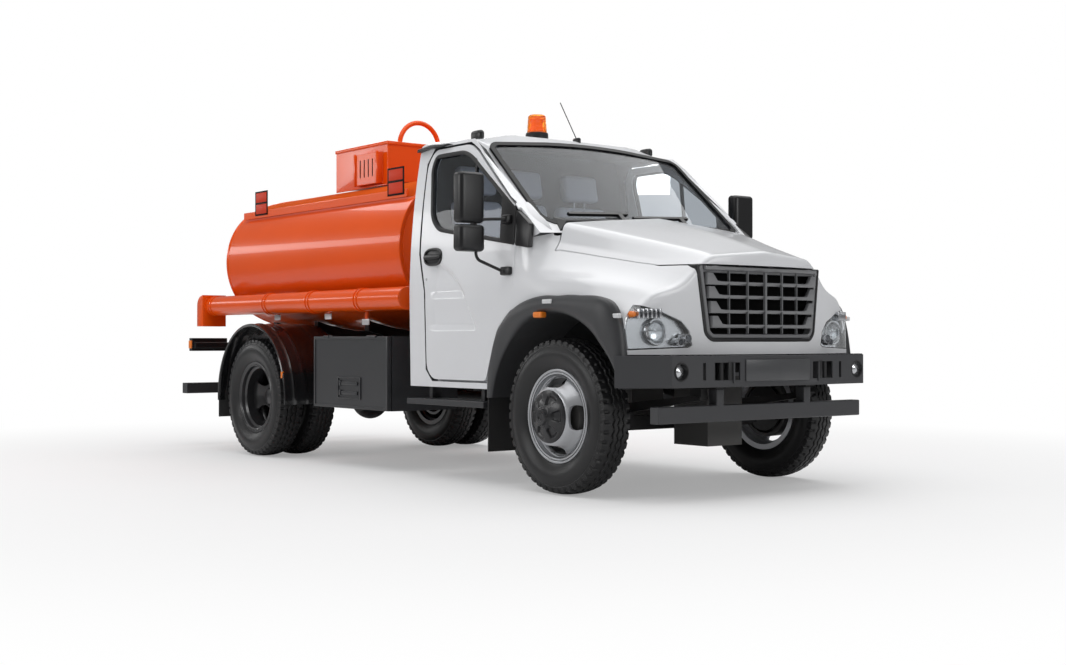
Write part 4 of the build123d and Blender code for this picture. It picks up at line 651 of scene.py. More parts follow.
def nose_form():
    """Closed outer form of the nose. Each row's corners are a smooth blend of the sections,
    the front end lies on the bow, its rim is rounded, and the front wall closes to a pole."""
    rows, rear = 56, 0.393
    t = np.linspace(0, 1, rows)
    order = np.argsort(NOSE_STATIONS)
    stations = rear + (-0.80 - rear) * t
    offsets = np.linspace(-0.14, 0.14, 33)
    kernel = np.exp(-0.5 * (offsets / 0.050) ** 2)
    kernel /= kernel.sum()
    corners = np.zeros((rows, 8, 2))
    for k in range(8):
        for c in range(2):
            values = [np.interp(stations + o, NOSE_STATIONS[order], NOSE_SECTIONS[order, k, c])
                      for o in offsets]
            corners[:, k, c] = np.tensordot(kernel, np.array(values), 1)
    section = half_section(np.moveaxis(corners, 1, 0))
    x, z = section[..., 0].T, section[..., 1].T
    y = rear + (bow(x) - rear) * t[:, None]
    rim, steps = 0.030, np.linspace(0, pi / 2, 6)[1:]
    centre = np.array([0.0, 0.95])
    rows_x, rows_y, rows_z = [x], [y], [z]
    edge_x, edge_z = x[-1], z[-1]
    length = np.hypot(edge_x - centre[0], edge_z - centre[1])
    for a in steps:
        shrink = 1 - rim * (1 - np.cos(a)) / length
        nx, nz = centre[0] + (edge_x - centre[0]) * shrink, centre[1] + (edge_z - centre[1]) * shrink
        rows_x.append(nx[None])
        rows_z.append(nz[None])
        rows_y.append((bow(nx) - rim * np.sin(a))[None])
    base = 1 - rim / length
    for s in np.linspace(1, 0, 14)[1:]:
        nx = centre[0] + (edge_x - centre[0]) * base * s
        nz = centre[1] + (edge_z - centre[1]) * base * s
        rows_x.append(nx[None])
        rows_z.append(nz[None])
        rows_y.append((bow(nx) - rim)[None])
    x, y, z = (np.concatenate(part, 0) for part in (rows_x, rows_y, rows_z))
    y = y + rim
    right = np.stack([-x, AXLE + y, z], -1)
    left = np.stack([x, AXLE + y, z], -1)[:, ::-1][:, 1:]
    return np.concatenate([right, left], 1)


nose = tidy(grid_mesh("nose", nose_form()), 60)
lamp_skin = linked("lamp_skin", nose.data.copy())


def thickened(piece, thickness, even=True):
    """Surface as a sheet with its wall laid inwards."""
    sheet = piece.modifiers.new("sheet", "SOLIDIFY")
    sheet.thickness, sheet.offset, sheet.use_even_offset = thickness, -1, even
    return evaluated(piece)


tidy(thickened(nose, 0.012), 40)

# The grille and the lamp are outlines (x, z) seen from the front; the seam is (station, x) in plan.
GRILLE_HALF = [(0.435, 0.926), (0.482, 0.970), (0.538, 1.380)]
GRILLE = GRILLE_HALF + [(-x, z) for x, z in GRILLE_HALF[::-1]]
GRILLE_OUTLINE = rounded(GRILLE, (0.05, 0.07, 0.012, 0.012, 0.07, 0.05), 6)
SEAM_LINE = [(0.145, 0.862), (0.125, 0.850), (-0.130, 0.754), (-0.455, 0.628), (-0.700, 0.548),
             (-0.90, 0.500)]
BONNET_REAR = 0.150
LAMP = np.array([(1.060, 0.874), (1.060, 1.162), (0.930, 1.150), (0.770, 1.108), (0.635, 1.050),
                 (0.580, 0.990), (0.560, 0.905), (0.580, 0.892)])


def bonnet_tool(gap):
    """Plan outline of the bonnet, grown by gap, as a tall prism down to the grille's top."""
    side_line = [(x + gap, y) for y, x in SEAM_LINE]
    rear = [(0.866 + gap, BONNET_REAR + gap), (-0.866 - gap, BONNET_REAR + gap)]
    outline = rear + [(-x, y) for x, y in side_line] + side_line[::-1]
    return prism("bonnet_tool", outline, "z", 1.383 - gap, 2.2)


bonnet = linked("bonnet_panel", nose.data.copy())
cut(bonnet, bonnet_tool(0.0), "INTERSECT")
ease(bonnet.data, 30)
place_piece(bonnet, "bonnet", white_paint, ("bonnet",))

wings = nose
wings.name = "wing_panels"
cut(wings, bonnet_tool(0.007))
WING_ARCH = 0.650
arch = prism("arch_tool", [(WING_ARCH * np.cos(a), TYRE_RADIUS + WING_ARCH * np.sin(a)) for a in
                           np.linspace(0, tau, 97)[:-1]], "x", -1.3, 1.3)
cut(wings, arch)
cut(wings, prism("below", [(-1.3, -1.2), (1.3, -1.2), (1.3, 1.2), (-1.3, 1.2)], "z", 0.3, 0.852))
cut(wings, prism("grille_hole", GRILLE_OUTLINE, "y", -1.3, -0.30))
for side in SIDES.values():
    cut(wings, prism("lamp_hole", LAMP * (side, 1), "y", -1.3, -0.59))
COWL_HALF = [(0.822, BONNET_REAR), (0.848, 0.190), (0.876, 0.300), (0.868, 0.60)]
cowl_outline = [(-0.822, BONNET_REAR)] + COWL_HALF + [(-x, y) for x, y in COWL_HALF[:0:-1]]
cut(wings, prism("cowl_hole", cowl_outline, "z", 1.3, 2.2))
ease(wings.data, 30)
place_piece(wings, "chassis", white_paint, ("front_body",))


# ================================================================ cab
# Welded steel cab: one shell with the door openings, roof and pillars, gloss white outside,
# with a dark lining inside, cut from the same solid.
lining_cloth = finish("cab_lining", (0.026, 0.027, 0.030), (0.036, 0.037, 0.040), (0.6, 0.8), 500, 0.3)
SLOPE = radians(41.8)           # of the windscreen from level
SCREEN_FOOT = (0.297, 1.698)    # its lower edge: station and height
SCREEN_HALF, SCREEN_BOW = 0.870, 0.045


def side_x(z):
    """Half width of the cab at a height: widths interpolated between these heights."""
    z = np.asarray(z, float)
    heights = np.array([0.60, 1.25, 1.55, 1.85, 2.07, 2.29, 2.345, 2.378])
    widths = np.array([0.996, 1.005, 0.991, 0.967, 0.938, 0.900, 0.865, 0.800])
    return np.interp(z, heights, widths)


def split_by(piece, name, chosen):
    """The polygons that chosen marks go to a new object, and the others stay."""
    other = linked(name, piece.data.copy())
    for target, unwanted in ((piece, chosen), (other, ~chosen)):
        shape = bmesh.new()
        shape.from_mesh(target.data)
        shape.faces.ensure_lookup_table()
        bmesh.ops.delete(shape, geom=[shape.faces[i] for i in np.flatnonzero(unwanted)], context="FACES")
        shape.to_mesh(target.data)
        shape.free()
    return other


def face_values(mesh):
    """Centre and normal of every polygon, as rows (x, y, z)."""
    centres, normals = np.empty(3 * len(mesh.polygons)), np.empty(3 * len(mesh.polygons))
    mesh.polygons.foreach_get("center", centres)
    mesh.polygons.foreach_get("normal", normals)
    return centres.reshape(-1, 3), normals.reshape(-1, 3)


cab = eased_copy("cab_shell", white_paint, 0.004, "cab_panels")
evaluated(cab)
centres, normals = face_values(cab.data)
across, station, height = np.abs(centres[:, 0]), centres[:, 1] - AXLE, centres[:, 2]
roof = np.interp(station, [0.78, 1.00, 1.25], [2.292, 2.390, 2.412]) - 0.034 * (across / 0.8) ** 2
off_screen = (height - SCREEN_FOOT[1]) * np.cos(SLOPE) - (station - SCREEN_FOOT[0]) * np.sin(SLOPE)
outwards = normals[:, 0] * np.sign(centres[:, 0])
up_slope = normals[:, 2] * np.cos(SLOPE) - normals[:, 1] * np.sin(SLOPE)
outside = (across > side_x(height) - 0.060) & (outwards > 0.15) | (across > side_x(height) - 0.012)
outside |= (height > roof - 0.022) & (normals[:, 2] > -0.2) | (station > 1.585) & (normals[:, 1] > -0.2)
screen_bow = SCREEN_BOW * (1 - (across / SCREEN_HALF) ** 2)
outside |= (off_screen > screen_bow - 0.015) & (station < 1.05) & (up_slope > -0.2)
outside |= height < 0.66
lining = split_by(cab, "cab_lining", ~outside)


def moved(piece, change):
    """Piece whose vertices, as rows (x, y, z), are changed in place by a function."""
    spots = np.empty(3 * len(piece.data.vertices))
    piece.data.vertices.foreach_get("co", spots)
    spots = spots.reshape(-1, 3)
    change(spots)
    piece.data.vertices.foreach_set("co", spots.ravel())
    return piece


def press_roof(spots):
    """The pressed roof is flatter than its solid, and its front corners are rounder."""
    corner = smooth_step(np.abs(spots[:, 0]), 0.50, 0.85) * (1 - smooth_step(spots[:, 1] - AXLE, 1.10, 1.50))
    spots[:, 2] -= smooth_step(spots[:, 2], 2.25, 2.40) * (0.058 + 0.040 * corner)


moved(cab, press_roof)
moved(lining, press_roof)
place_piece(lining, "chassis", lining_cloth)


# ================================================================ doors
# Pressed steel doors: the skin follows the cab's side, with a pocket under an arched crease
# and two ledges below it. A grid of relief is cut to the door's outline and its window.
# The outlines are (station, z), and DOOR_SOFT gives the radius of each corner of the door.
DOOR = [(0.713, 0.673), (1.325, 0.673), (1.395, 0.745), (1.405, 1.270), (1.480, 1.530), (1.480, 2.150),
        (1.415, 2.240), (1.000, 2.240), (0.905, 2.185), (0.445, 1.795), (0.405, 1.745),
        (0.405, 1.143), (0.474, 1.102), (0.584, 1.004), (0.655, 0.834)]
DOOR_SOFT = (0.03, 0.10, 0.06, 0.05, 0.05, 0.12, 0.10, 0.12, 0.05, 0.05, 0.05, 0.03, 0.03, 0.03, 0.04)
GLASS = [(0.300, 1.530), (1.275, 1.684), (1.362, 1.762), (1.418, 2.115), (1.385, 2.190), (1.068, 2.190),
         (0.968, 2.150), (0.600, 1.886), (0.300, 1.670)]
POCKET = [(0.800, 0.999), (0.880, 1.130), (0.944, 1.246), (1.007, 1.320), (1.100, 1.403), (1.218, 1.461),
          (1.327, 1.490), (1.474, 1.500), (1.613, 1.496)]


def pressed(y, z):
    """Depth of the side panel's relief: the pocket below its crease and the two ledges."""
    crease = np.interp(y, *np.array(POCKET).T)
    inside = smooth_step((crease - z) * 0.75, 0.000, 0.034) * smooth_step(y, 0.80, 0.83)
    steps = np.interp(z, [0.999, 1.040, 1.214, 1.262, 1.7], [0, 0.018, 0.005, 0.021, 0.018])
    return inside * steps * (1 - smooth_step(y, 1.290, 1.375))


def side_slab(name, side, y_range, z_range, step, thickness):
    """Closed slab that follows the cab's side, with the relief on its outer face."""
    y = np.arange(y_range[0], y_range[1] + step, step)
    z = np.arange(z_range[0], z_range[1] + step, step)
    yy, zz = np.meshgrid(y, z, indexing="ij")
    width = 0.5 * (side_x(zz - 0.05) + side_x(zz + 0.05))
    outer = np.stack([side * (width - pressed(yy, zz)), AXLE + yy, zz], -1)
    panel = grid_mesh(name, outer, flip=side < 0)
    return tidy(thickened(panel, thickness, even=False), 25)


def span(side, near, far):
    """Range of x between two distances from the middle, on one side."""
    return sorted((side * near, side * far))


for label, side in SIDES.items():
    panel = side_slab(f"door_panel_{label}", side, (0.38, 1.50), (0.65, 2.26), 0.0085, 0.040)
    ends = span(side, 0.7, 1.2)
    cut(panel, prism("door_tool", rounded(DOOR, DOOR_SOFT, 5), "x", *ends), "INTERSECT")
    cut(panel, prism("window_tool", rounded(GLASS, 0.04, 5), "x", *ends))
    ease(panel.data, 24)
    place_piece(panel, f"door_{label}", white_paint, (f"door_{label}",))


# ================================================================ windows
# Laminated windscreen with a printed black border and tempered side glass in rubber seals,
# with a dark divider bar and a black corner cover that carries the mirror.
def glass_finish(name, colour, roughness, index):
    """Clear tinted glass; a fine noise varies its tint and its roughness a little, and it
    casts only its tint as a shadow."""
    material, skin = surface_material(name, colour, tuple(0.94 * c for c in colour),
                                      (roughness, roughness + 0.015), 30, 0.0, 0.0)[:2]
    nodes, link = material.node_tree.nodes, material.node_tree.links.new
    skin.inputs["Transmission Weight"].default_value = 1.0
    skin.inputs["IOR"].default_value = index
    skin.inputs["Specular IOR Level"].default_value = 0.15
    clear, blend = nodes.new("ShaderNodeBsdfTransparent"), nodes.new("ShaderNodeMixShader")
    clear.inputs["Color"].default_value = (*colour, 1)
    link(nodes.new("ShaderNodeLightPath").outputs["Is Shadow Ray"], blend.inputs[0])
    link(skin.outputs[0], blend.inputs[1])
    link(clear.outputs[0], blend.inputs[2])
    link(blend.outputs[0], nodes["Material Output"].inputs["Surface"])
    return material


trim_black = finish("black_plastic", (0.007, 0.007, 0.008), (0.011, 0.011, 0.012), (0.26, 0.40), 600, 0.12)
seal_rubber = finish("seal_rubber", (0.008, 0.008, 0.009), None, (0.40, 0.55), 500, 0.15)
window = glass_finish("window_glass", (0.56, 0.59, 0.62), 0.0, 1.25)
side_window = glass_finish("side_glass", (0.66, 0.69, 0.72), 0.0, 1.25)
eased_copy("windscreen", window, 0)


def side_ring(name, side, outer, inner, proud, depth):
    """Frame that lies on the cab's side between two outlines of as many points."""
    outer, inner = np.array(outer, float), np.array(inner, float)
    loops = []
    for line, lift in ((outer, proud * 0.3), (outer * 0.75 + inner * 0.25, proud),
                       (outer * 0.25 + inner * 0.75, proud), (inner, proud * 0.2),
                       (inner, -depth), (outer, -depth)):
        loops.append(np.stack([side * (side_x(line[:, 1]) + lift), AXLE + line[:, 0], line[:, 1]], -1))
    return tidy(grid_mesh(name, np.stack(loops, 1), wrap=(True, True)), 50)


def shrunk(outline, amount):
    """Closed outline drawn in along its normals."""
    outline = np.array(outline, float)
    return outline - amount * outward(outline)


def side_plate(name, side, outline, proud, depth, bevel=0.002):
    """Flat piece of an outline that follows the cab's side."""
    def bend(spots):
        """Adds the cab's half width at each height, then picks the side."""
        spots[:, 0] = side * (spots[:, 0] + side_x(spots[:, 2]))
    return tidy(moved(prism(name, outline, "x", -depth, proud, bevel=bevel), bend), 40)


def side_pane(name, side, outline):
    """Sheet of glass 5 mm thick just inside the cab's side: rings of an outline drawn to its
    middle, first on the outer face and back out on the inner one."""
    outline = np.array(outline, float)
    middle = outline.mean(0)
    share = np.concatenate([np.linspace(0.02, 1, 12), np.linspace(1, 0.02, 12)])[:, None, None]
    lines = middle + (outline - middle) * share
    inset = np.repeat([0.017, 0.012], 12)[:, None]
    width = sum(side_x(lines[..., 1] + step) for step in (-0.10, -0.05, 0, 0.05, 0.10)) / 5
    points = np.stack([side * (width - inset), AXLE + lines[..., 0], lines[..., 1]], -1)
    return tidy(grid_mesh(name, points, wrap=(True, True)), 30)


SCREEN_HALF_LINE = [(0.790, -0.058), (0.875, 0.012), (0.849, 0.770), (0.800, 0.812)]
SCREEN = SCREEN_HALF_LINE + [(0.0, 0.838)] + [(-x, up) for x, up in SCREEN_HALF_LINE[::-1]]


def on_windscreen(line, lift):
    """Points (x, distance up the slope) on the bowed windscreen, lifted off the glass."""
    x, up = line[:, 0], line[:, 1]
    out = lift + SCREEN_BOW * (1 - (x / SCREEN_HALF) ** 2)
    return np.stack([x, AXLE + SCREEN_FOOT[0] + up * np.cos(SLOPE) - out * np.sin(SLOPE),
                     SCREEN_FOOT[1] + up * np.sin(SLOPE) + out * np.cos(SLOPE)], -1)


edge = rounded(SCREEN, (0.03, 0.05, 0.03, 0.03, 0.5, 0.03, 0.03, 0.05, 0.03), 8)
outer_edge, inner_edge = shrunk(edge, -0.006), shrunk(edge, 0.030)
border = grid_mesh("windscreen_border", np.stack([
    on_windscreen(outer_edge, -0.010), on_windscreen(outer_edge, 0.006), on_windscreen(inner_edge, 0.006),
    on_windscreen(inner_edge, -0.010)], 1), wrap=(True, True))
border_black = finish("printed_border", (0.004, 0.004, 0.005), None, (0.30, 0.40), 400, 0.02, specular=0.2)
place_piece(tidy(border, 40), "chassis", border_black)

SEAL = [(0.412, 1.534), (0.560, 1.557), (1.285, 1.670), (1.377, 1.756), (1.434, 2.118), (1.400, 2.206),
        (1.060, 2.206), (0.958, 2.165), (0.598, 1.904), (0.412, 1.766)]
for label, side in SIDES.items():
    outline = rounded(SEAL, (0.01, 0.1, 0.09, 0.06, 0.05, 0.09, 0.1, 0.1, 0.05, 0.02), 6)
    parts = [side_ring("seal", side, outline, shrunk(outline, 0.027), 0.006, 0.030)]
    parts.append(side_plate("divider", side, [(0.893, 1.600), (0.915, 1.604), (0.915, 2.140), (0.893, 2.120)],
                            0.001, 0.020))
    parts.append(side_plate("corner", side, rounded([
        (0.414, 1.538), (0.566, 1.562), (0.566, 1.872), (0.414, 1.760)], 0.010), 0.007, 0.028, 0.003))
    seals = joined(f"window_seal_{label}", parts, 40)
    place_piece(seals, f"door_{label}", seal_rubber)
    pane = side_pane(f"door_pane_{label}", side, shrunk(rounded(SEAL, 0.04, 5), 0.016))
    place_piece(pane, f"door_{label}", side_window, (f"door_glass_{label}",))
    cover = side_plate(f"corner_cover_{label}", side, rounded([
        (0.262, 1.510), (0.398, 1.530), (0.398, 1.756), (0.262, 1.660)], 0.016), 0.010, 0.030, 0.003)
    place_piece(cover, "chassis", trim_black)


# ================================================================ handles and locks
# Moulded black cup with a pull bar across it, and a small lock under each one.
def lathe(name, outline, centre, axis, count=48):
    """Closed outline (along, radius) turned about an axis through centre (x, station, z)."""
    along, r = np.array(outline, float).T
    angle = np.arange(count) / count * tau
    out = np.zeros((count, len(r), 3))
    first, second, third = PLANES[axis]
    out[..., first] = np.outer(np.cos(angle), r)
    out[..., second] = np.outer(np.sin(angle), r)
    out[..., third] = along
    out += (centre[0], AXLE + centre[1], centre[2])
    return tidy(grid_mesh(name, out, wrap=(True, True)), 35)


def block(name, x, y, z, radius, bevel):
    """Box between ranges, with its upright edges and rims rounded."""
    corners = [(x[0], y[0]), (x[1], y[0]), (x[1], y[1]), (x[0], y[1])]
    return prism(name, rounded(corners, radius, 4), "z", z[0], z[1], bevel=bevel)


def oval(centre, half_width, half_height, power=2.6):
    """Closed superellipse: cosine and sine raised to two over power, with their signs kept."""
    a = np.arange(48) / 48 * tau
    c, s = np.cos(a), np.sin(a)
    return np.stack([centre[0] + half_width * np.sign(c) * np.abs(c) ** (2 / power),
                     centre[1] + half_height * np.sign(s) * np.abs(s) ** (2 / power)], 1)


HANDLE = (1.322, 1.500)
for label, side in SIDES.items():
    handle = joined(f"door_handle_{label}", [
        side_ring("rim", side, oval(HANDLE, 0.108, 0.062), oval(HANDLE, 0.090, 0.046), 0.010, 0.004),
        side_plate("cup", side, oval(HANDLE, 0.096, 0.050), 0.001, 0.004, 0.0005),
        side_plate("bar", side, oval(HANDLE, 0.098, 0.018, 3.5), 0.018, -0.004, 0.004)], 40)
    place_piece(handle, f"door_{label}", trim_black)
    lock = side_plate(f"door_lock_{label}", side, oval((1.394, 1.350), 0.011, 0.011, 2), 0.0005, 0.016, 0.001)
    place_piece(lock, f"door_{label}", wheel_silver)


# ================================================================ mirrors
# Two black shells one above the other on a steel tube, held by two arms on the door.
def capped(piece, sides):
    """Closes the open ends of a piece that have no more than so many sides."""
    shape = bmesh.new()
    shape.from_mesh(piece.data)
    bmesh.ops.holes_fill(shape, edges=[e for e in shape.edges if e.is_boundary], sides=sides)
    shape.to_mesh(piece.data)
    shape.free()
    return piece


def tube(name, path, radius, sides=12, smooth=8):
    """Round bar along a path (x, station, z) whose corners are eased by arcs of smooth points."""
    path = np.array(path, float) + (0, AXLE, 0)
    if smooth and len(path) > 2:
        pieces = [path[:1]]
        for a, b, c in zip(path, path[1:], path[2:]):
            reach = min(0.5 * np.linalg.norm(b - a), 0.5 * np.linalg.norm(c - b), 3.5 * radius)
            start = b + (a - b) / np.linalg.norm(a - b) * reach
            stop = b + (c - b) / np.linalg.norm(c - b) * reach
            t = np.linspace(0, 1, smooth)[:, None]
            pieces.append((1 - t) ** 2 * start + 2 * t * (1 - t) * b + t ** 2 * stop)
        path = np.vstack([*pieces, path[-1:]])
    ahead = np.gradient(path, axis=0)
    ahead /= np.linalg.norm(ahead, axis=1)[:, None]
    guide = np.array([0.31, 0.17, 0.93]) if abs(ahead[0, 2]) < 0.9 else np.array([1.0, 0.1, 0.0])
    across = np.cross(ahead, guide)
    across /= np.linalg.norm(across, axis=1)[:, None]
    up = np.cross(across, ahead)
    a = np.arange(sides) / sides * tau
    rings = (path[:, None] + radius * (np.cos(a)[None, :, None] * across[:, None]
                                       + np.sin(a)[None, :, None] * up[:, None]))
    return tidy(capped(grid_mesh(name, rings, wrap=(False, True)), sides), 40)


def mirror_shell(name, side, low, high, half_width):
    """Housing with a full back and a flat face to the rear; its rims are well rounded."""
    depth = 0.042
    corners = [(-half_width, -depth), (half_width, -depth), (half_width, depth), (-half_width, depth)]
    outline = rounded(np.array(corners) + (side * 1.218, 0.580), (0.060, 0.060, 0.014, 0.014), 7)
    return prism(name, outline, "z", low, high, bevel=0.026, bevel_steps=6)


mirror_glass = finish("mirror_glass", (0.55, 0.57, 0.60), (0.50, 0.52, 0.55), (0.02, 0.05), 80, 0.0,
                      metallic=0.9)
for label, side in SIDES.items():
    parts = [mirror_shell("upper", side, 1.672, 1.992, 0.097),
             mirror_shell("lower", side, 1.493, 1.662, 0.099),
             tube("stem", [(side * 1.176, 0.575, 1.90), (side * 1.176, 0.570, 1.470),
                           (side * 1.165, 0.560, 1.440), (side * 1.040, 0.480, 1.372)], 0.010),
             tube("arm", [(side * 1.185, 0.570, 1.690), (side * 1.12, 0.535, 1.698),
                          (side * 1.015, 0.470, 1.700)], 0.010),
             side_plate("foot", side, rounded([(0.425, 1.345), (0.520, 1.345), (0.520, 1.400),
                                               (0.425, 1.400)], 0.016), 0.030, 0.004, 0.008),
             side_plate("bracket", side, rounded([(0.440, 1.672), (0.520, 1.672), (0.520, 1.728),
                                                  (0.440, 1.728)], 0.014), 0.045, 0.002, 0.010)]
    mirror = joined(f"mirror_shells_{label}", parts, 40)
    place_piece(mirror, f"door_{label}", trim_black, (f"mirror_{label}",))
    panes = joined(f"mirror_panes_{label}", [
        prism(name, rounded([(side * 1.140, low), (side * 1.296, low), (side * 1.296, high),
                             (side * 1.140, high)], 0.025), "y", 0.6205, 0.6235, bevel=0.001)
        for name, low, high in (("upper", 1.700, 1.964), ("lower", 1.520, 1.636))], 30)
    place_piece(panes, f"door_{label}", mirror_glass)


# ================================================================ roof
# Amber beacon on a black foot, two marker lamps, a whip aerial and the rain channel's ends.
def clear_lens(name, colour, roughness):
    """Moulded clear plastic."""
    return glass_finish(name, colour, roughness, 1.45)


amber_lens = clear_lens("amber_lens", (1.0, 0.42, 0.03), 0.04)
amber_core = finish("amber_reflector", (0.90, 0.26, 0.02), (0.75, 0.16, 0.01), (0.25, 0.4), 60, 0.1)
BEACON = (0, 1.450, 2.412)


def ribbed_dome(name, outline, centre, ribs, depth):
    """Outline (height, radius) turned upright, its radius waved by ribs round the turn."""
    count = 180
    h, r = np.array(outline, float).T
    a = np.arange(count) / count * tau
    wave = 1 - depth * (0.5 + 0.5 * np.cos(ribs * a))[:, None] * ((r > 0.03) & (h > 0.03))
    points = np.stack([np.cos(a)[:, None] * r * wave + centre[0], np.sin(a)[:, None] * r * wave
                       + AXLE + centre[1], np.broadcast_to(h, (count, len(h))) + centre[2]], -1)
    return tidy(grid_mesh(name, points, wrap=(True, True)), 40)


heights = np.linspace(0.036, 0.150, 40)
shell_profile = [(0.033, 0.0005), (0.033, 0.071)]
shell_profile += [(h, 0.0725 - 0.075 * (h - 0.036) + 0.0012 * np.sin(h * 900)) for h in heights]
shell_profile += [(0.157, 0.060), (0.163, 0.050), (0.166, 0.030), (0.166, 0.0005)]
dome = ribbed_dome("beacon_dome", shell_profile, BEACON, 24, 0.04)
place_piece(dome, "chassis", amber_lens, ("beacon",))
reflector = lathe("beacon_reflector", [(0.040, 0.0005), (0.040, 0.050), (0.090, 0.034), (0.135, 0.046),
                                       (0.140, 0.0005)], BEACON, "z")
place_piece(reflector, "chassis", amber_core)
foot = lathe("beacon_foot", [(-0.060, 0.0005), (-0.060, 0.084), (0.020, 0.083), (0.030, 0.080),
                             (0.034, 0.070), (0.034, 0.0005)], BEACON, "z")
place_piece(foot, "chassis", trim_black)
for label, side in SIDES.items():
    marker = prism(f"roof_marker_{label}", oval((side * 0.769, 1.120), 0.026, 0.062), "z",
                   2.288, 2.356, bevel=0.022, bevel_steps=6)
    place_piece(marker, "chassis", trim_black)
for label, side in SIDES.items():
    strip = side_plate(f"rain_strip_{label}", side, [(1.215, 2.262), (1.330, 2.254), (1.470, 2.256),
                                                     (1.598, 2.240), (1.598, 2.262), (1.440, 2.278),
                                                     (1.300, 2.268)], 0.034, 0.004, 0.003)
    place_piece(strip, "chassis", trim_black)
aerial = joined("whip_aerial", [
    prism("foot", oval((0.020, 1.020), 0.018, 0.036), "z", 2.315, 2.362, bevel=0.012),
    tube("whip", [(0.020, 1.020, 2.350), (0.000, 1.180, 2.630)], 0.0035, 8, 0)], 40)
place_piece(aerial, "chassis", trim_black, ("antenna", "roof_markers"))


# ================================================================ lamps
# Moulded headlamp: a clear lens flush with the wing over a bright reflector bowl with a
# round main lamp, an indicator with fins and two small inner lamps.
lamp_clear = clear_lens("lamp_clear", (0.93, 0.95, 0.96), 0.0)
chrome = finish("lamp_reflector", (0.62, 0.63, 0.65), (0.50, 0.51, 0.53), (0.10, 0.22), 60, 0.05,
                metallic=0.85)
for label, side in SIDES.items():
    outline = shrunk(rounded(LAMP * (side, 1), 0.02, 4), 0.004)
    lens = linked(f"headlamp_lens_{label}", lamp_skin.data.copy())
    cut(thickened(lens, 0.004), prism("tool", outline, "y", -1.3, -0.593), "INTERSECT")
    bowl = linked(f"headlamp_bowl_{label}", lens.data.copy())
    middle = np.array([side * 0.80, AXLE - 0.60, 1.0])

    def set_back(spots):
        """Shrinks the bowl towards the lamp's middle, then moves it in and back."""
        spots[:] = middle + (spots - middle) * (0.97, 0.92, 0.97) + (-side * 0.012, 0.040, 0)

    moved(bowl, set_back)
    ease(lens.data, 30)
    ease(bowl.data, 30)
    place_piece(lens, "chassis", lamp_clear)
    main = (side * 0.772, -0.640, 0.985)
    parts = [bowl]
    for centre, r in ((main, 0.074), ((side * 0.610, -0.735, 0.945), 0.026),
                      ((side * 0.655, -0.722, 0.925), 0.020)):
        parts.append(lathe("ring", [(-0.020, r * 0.92), (-0.020, r * 1.04), (-0.012, r * 1.10),
                                    (0.040, r * 1.10), (0.040, r * 0.20), (0.012, r * 0.5),
                                    (-0.004, r * 0.80)], centre, "y"))
    for k in range(6):
        x = side * (0.900 - 0.024 * k)
        parts.append(block("fin", (x - 0.006, x + 0.006), (-0.655 - 0.010 * k, -0.600), (1.062, 1.118),
                           0.002, 0.002))
    reflector = joined(f"headlamp_reflector_{label}", parts, 35)
    place_piece(reflector, "chassis", chrome, ("headlamps",) if side < 0 else ())
    ball = lathe(f"headlamp_main_{label}", [(-0.036, 0.0005), (-0.034, 0.020), (-0.026, 0.042),
                                            (-0.012, 0.060), (0.0, 0.066), (0.010, 0.066),
                                            (0.010, 0.0005)], main, "y")
    place_piece(ball, "chassis", lamp_clear)
    bulb = lathe(f"indicator_{label}", [(-0.020, 0.0005), (-0.016, 0.012), (0.0, 0.019), (0.020, 0.019),
                                        (0.020, 0.0005)], (side * 0.922, -0.622, 1.085), "y", 24)
    place_piece(bulb, "chassis", amber_core)
bpy.data.objects.remove(lamp_skin)


# ================================================================ grille
# Moulded dark grey grille set in a black surround: four cross bars and a top bar whose ends
# turn up into the side posts, with a broad middle post and thin uprights over a flat black
# sheet of painted shade that stands for the dark space behind them.
grille_paint = finish("grille_paint", (0.180, 0.183, 0.190), (0.205, 0.208, 0.215), (0.20, 0.30), 500,
                      0.04, coat=0.3)
# Flat black with almost no gloss: painted shade, used where an opening is dark inside.
painted_shade_black = finish("painted_shade_black", (0.003, 0.003, 0.003), None, (0.8, 0.95), 100, 0.05, specular=0.1)


def bowed(piece):
    """Moves a piece that was made flat at station zero onto the bow of the front."""
    def onto_bow(spots):
        """Adds the front's plan line to each station."""
        spots[:, 1] += bow(spots[:, 0])
    return moved(piece, onto_bow)


def flat_ring(name, outer, inner, low, high, bevel=0.003):
    """Closed frame between two outlines (x, z) of as many points, from low to high in y."""
    outer, inner = np.array(outer, float), np.array(inner, float)
    inwards = inner - outer
    inwards /= np.linalg.norm(inwards, axis=1)[:, None]
    loops = [(outer, high), (outer, low + bevel), (outer + inwards * bevel, low),
             (inner - inwards * bevel, low), (inner, low + bevel), (inner, high)]
    points = np.stack([np.stack([line[:, 0], np.full(len(line), AXLE + y), line[:, 1]], -1)
                       for line, y in loops], 1)
    return tidy(grid_mesh(name, points, wrap=(True, True)), 40)


def grille_edge(z, inset):
    """Half width of the grille's opening at a height, less inset."""
    (low_x, low_z), (high_x, high_z) = GRILLE_HALF[1:]
    return np.interp(z, [low_z, high_z], [low_x, high_x]) - inset


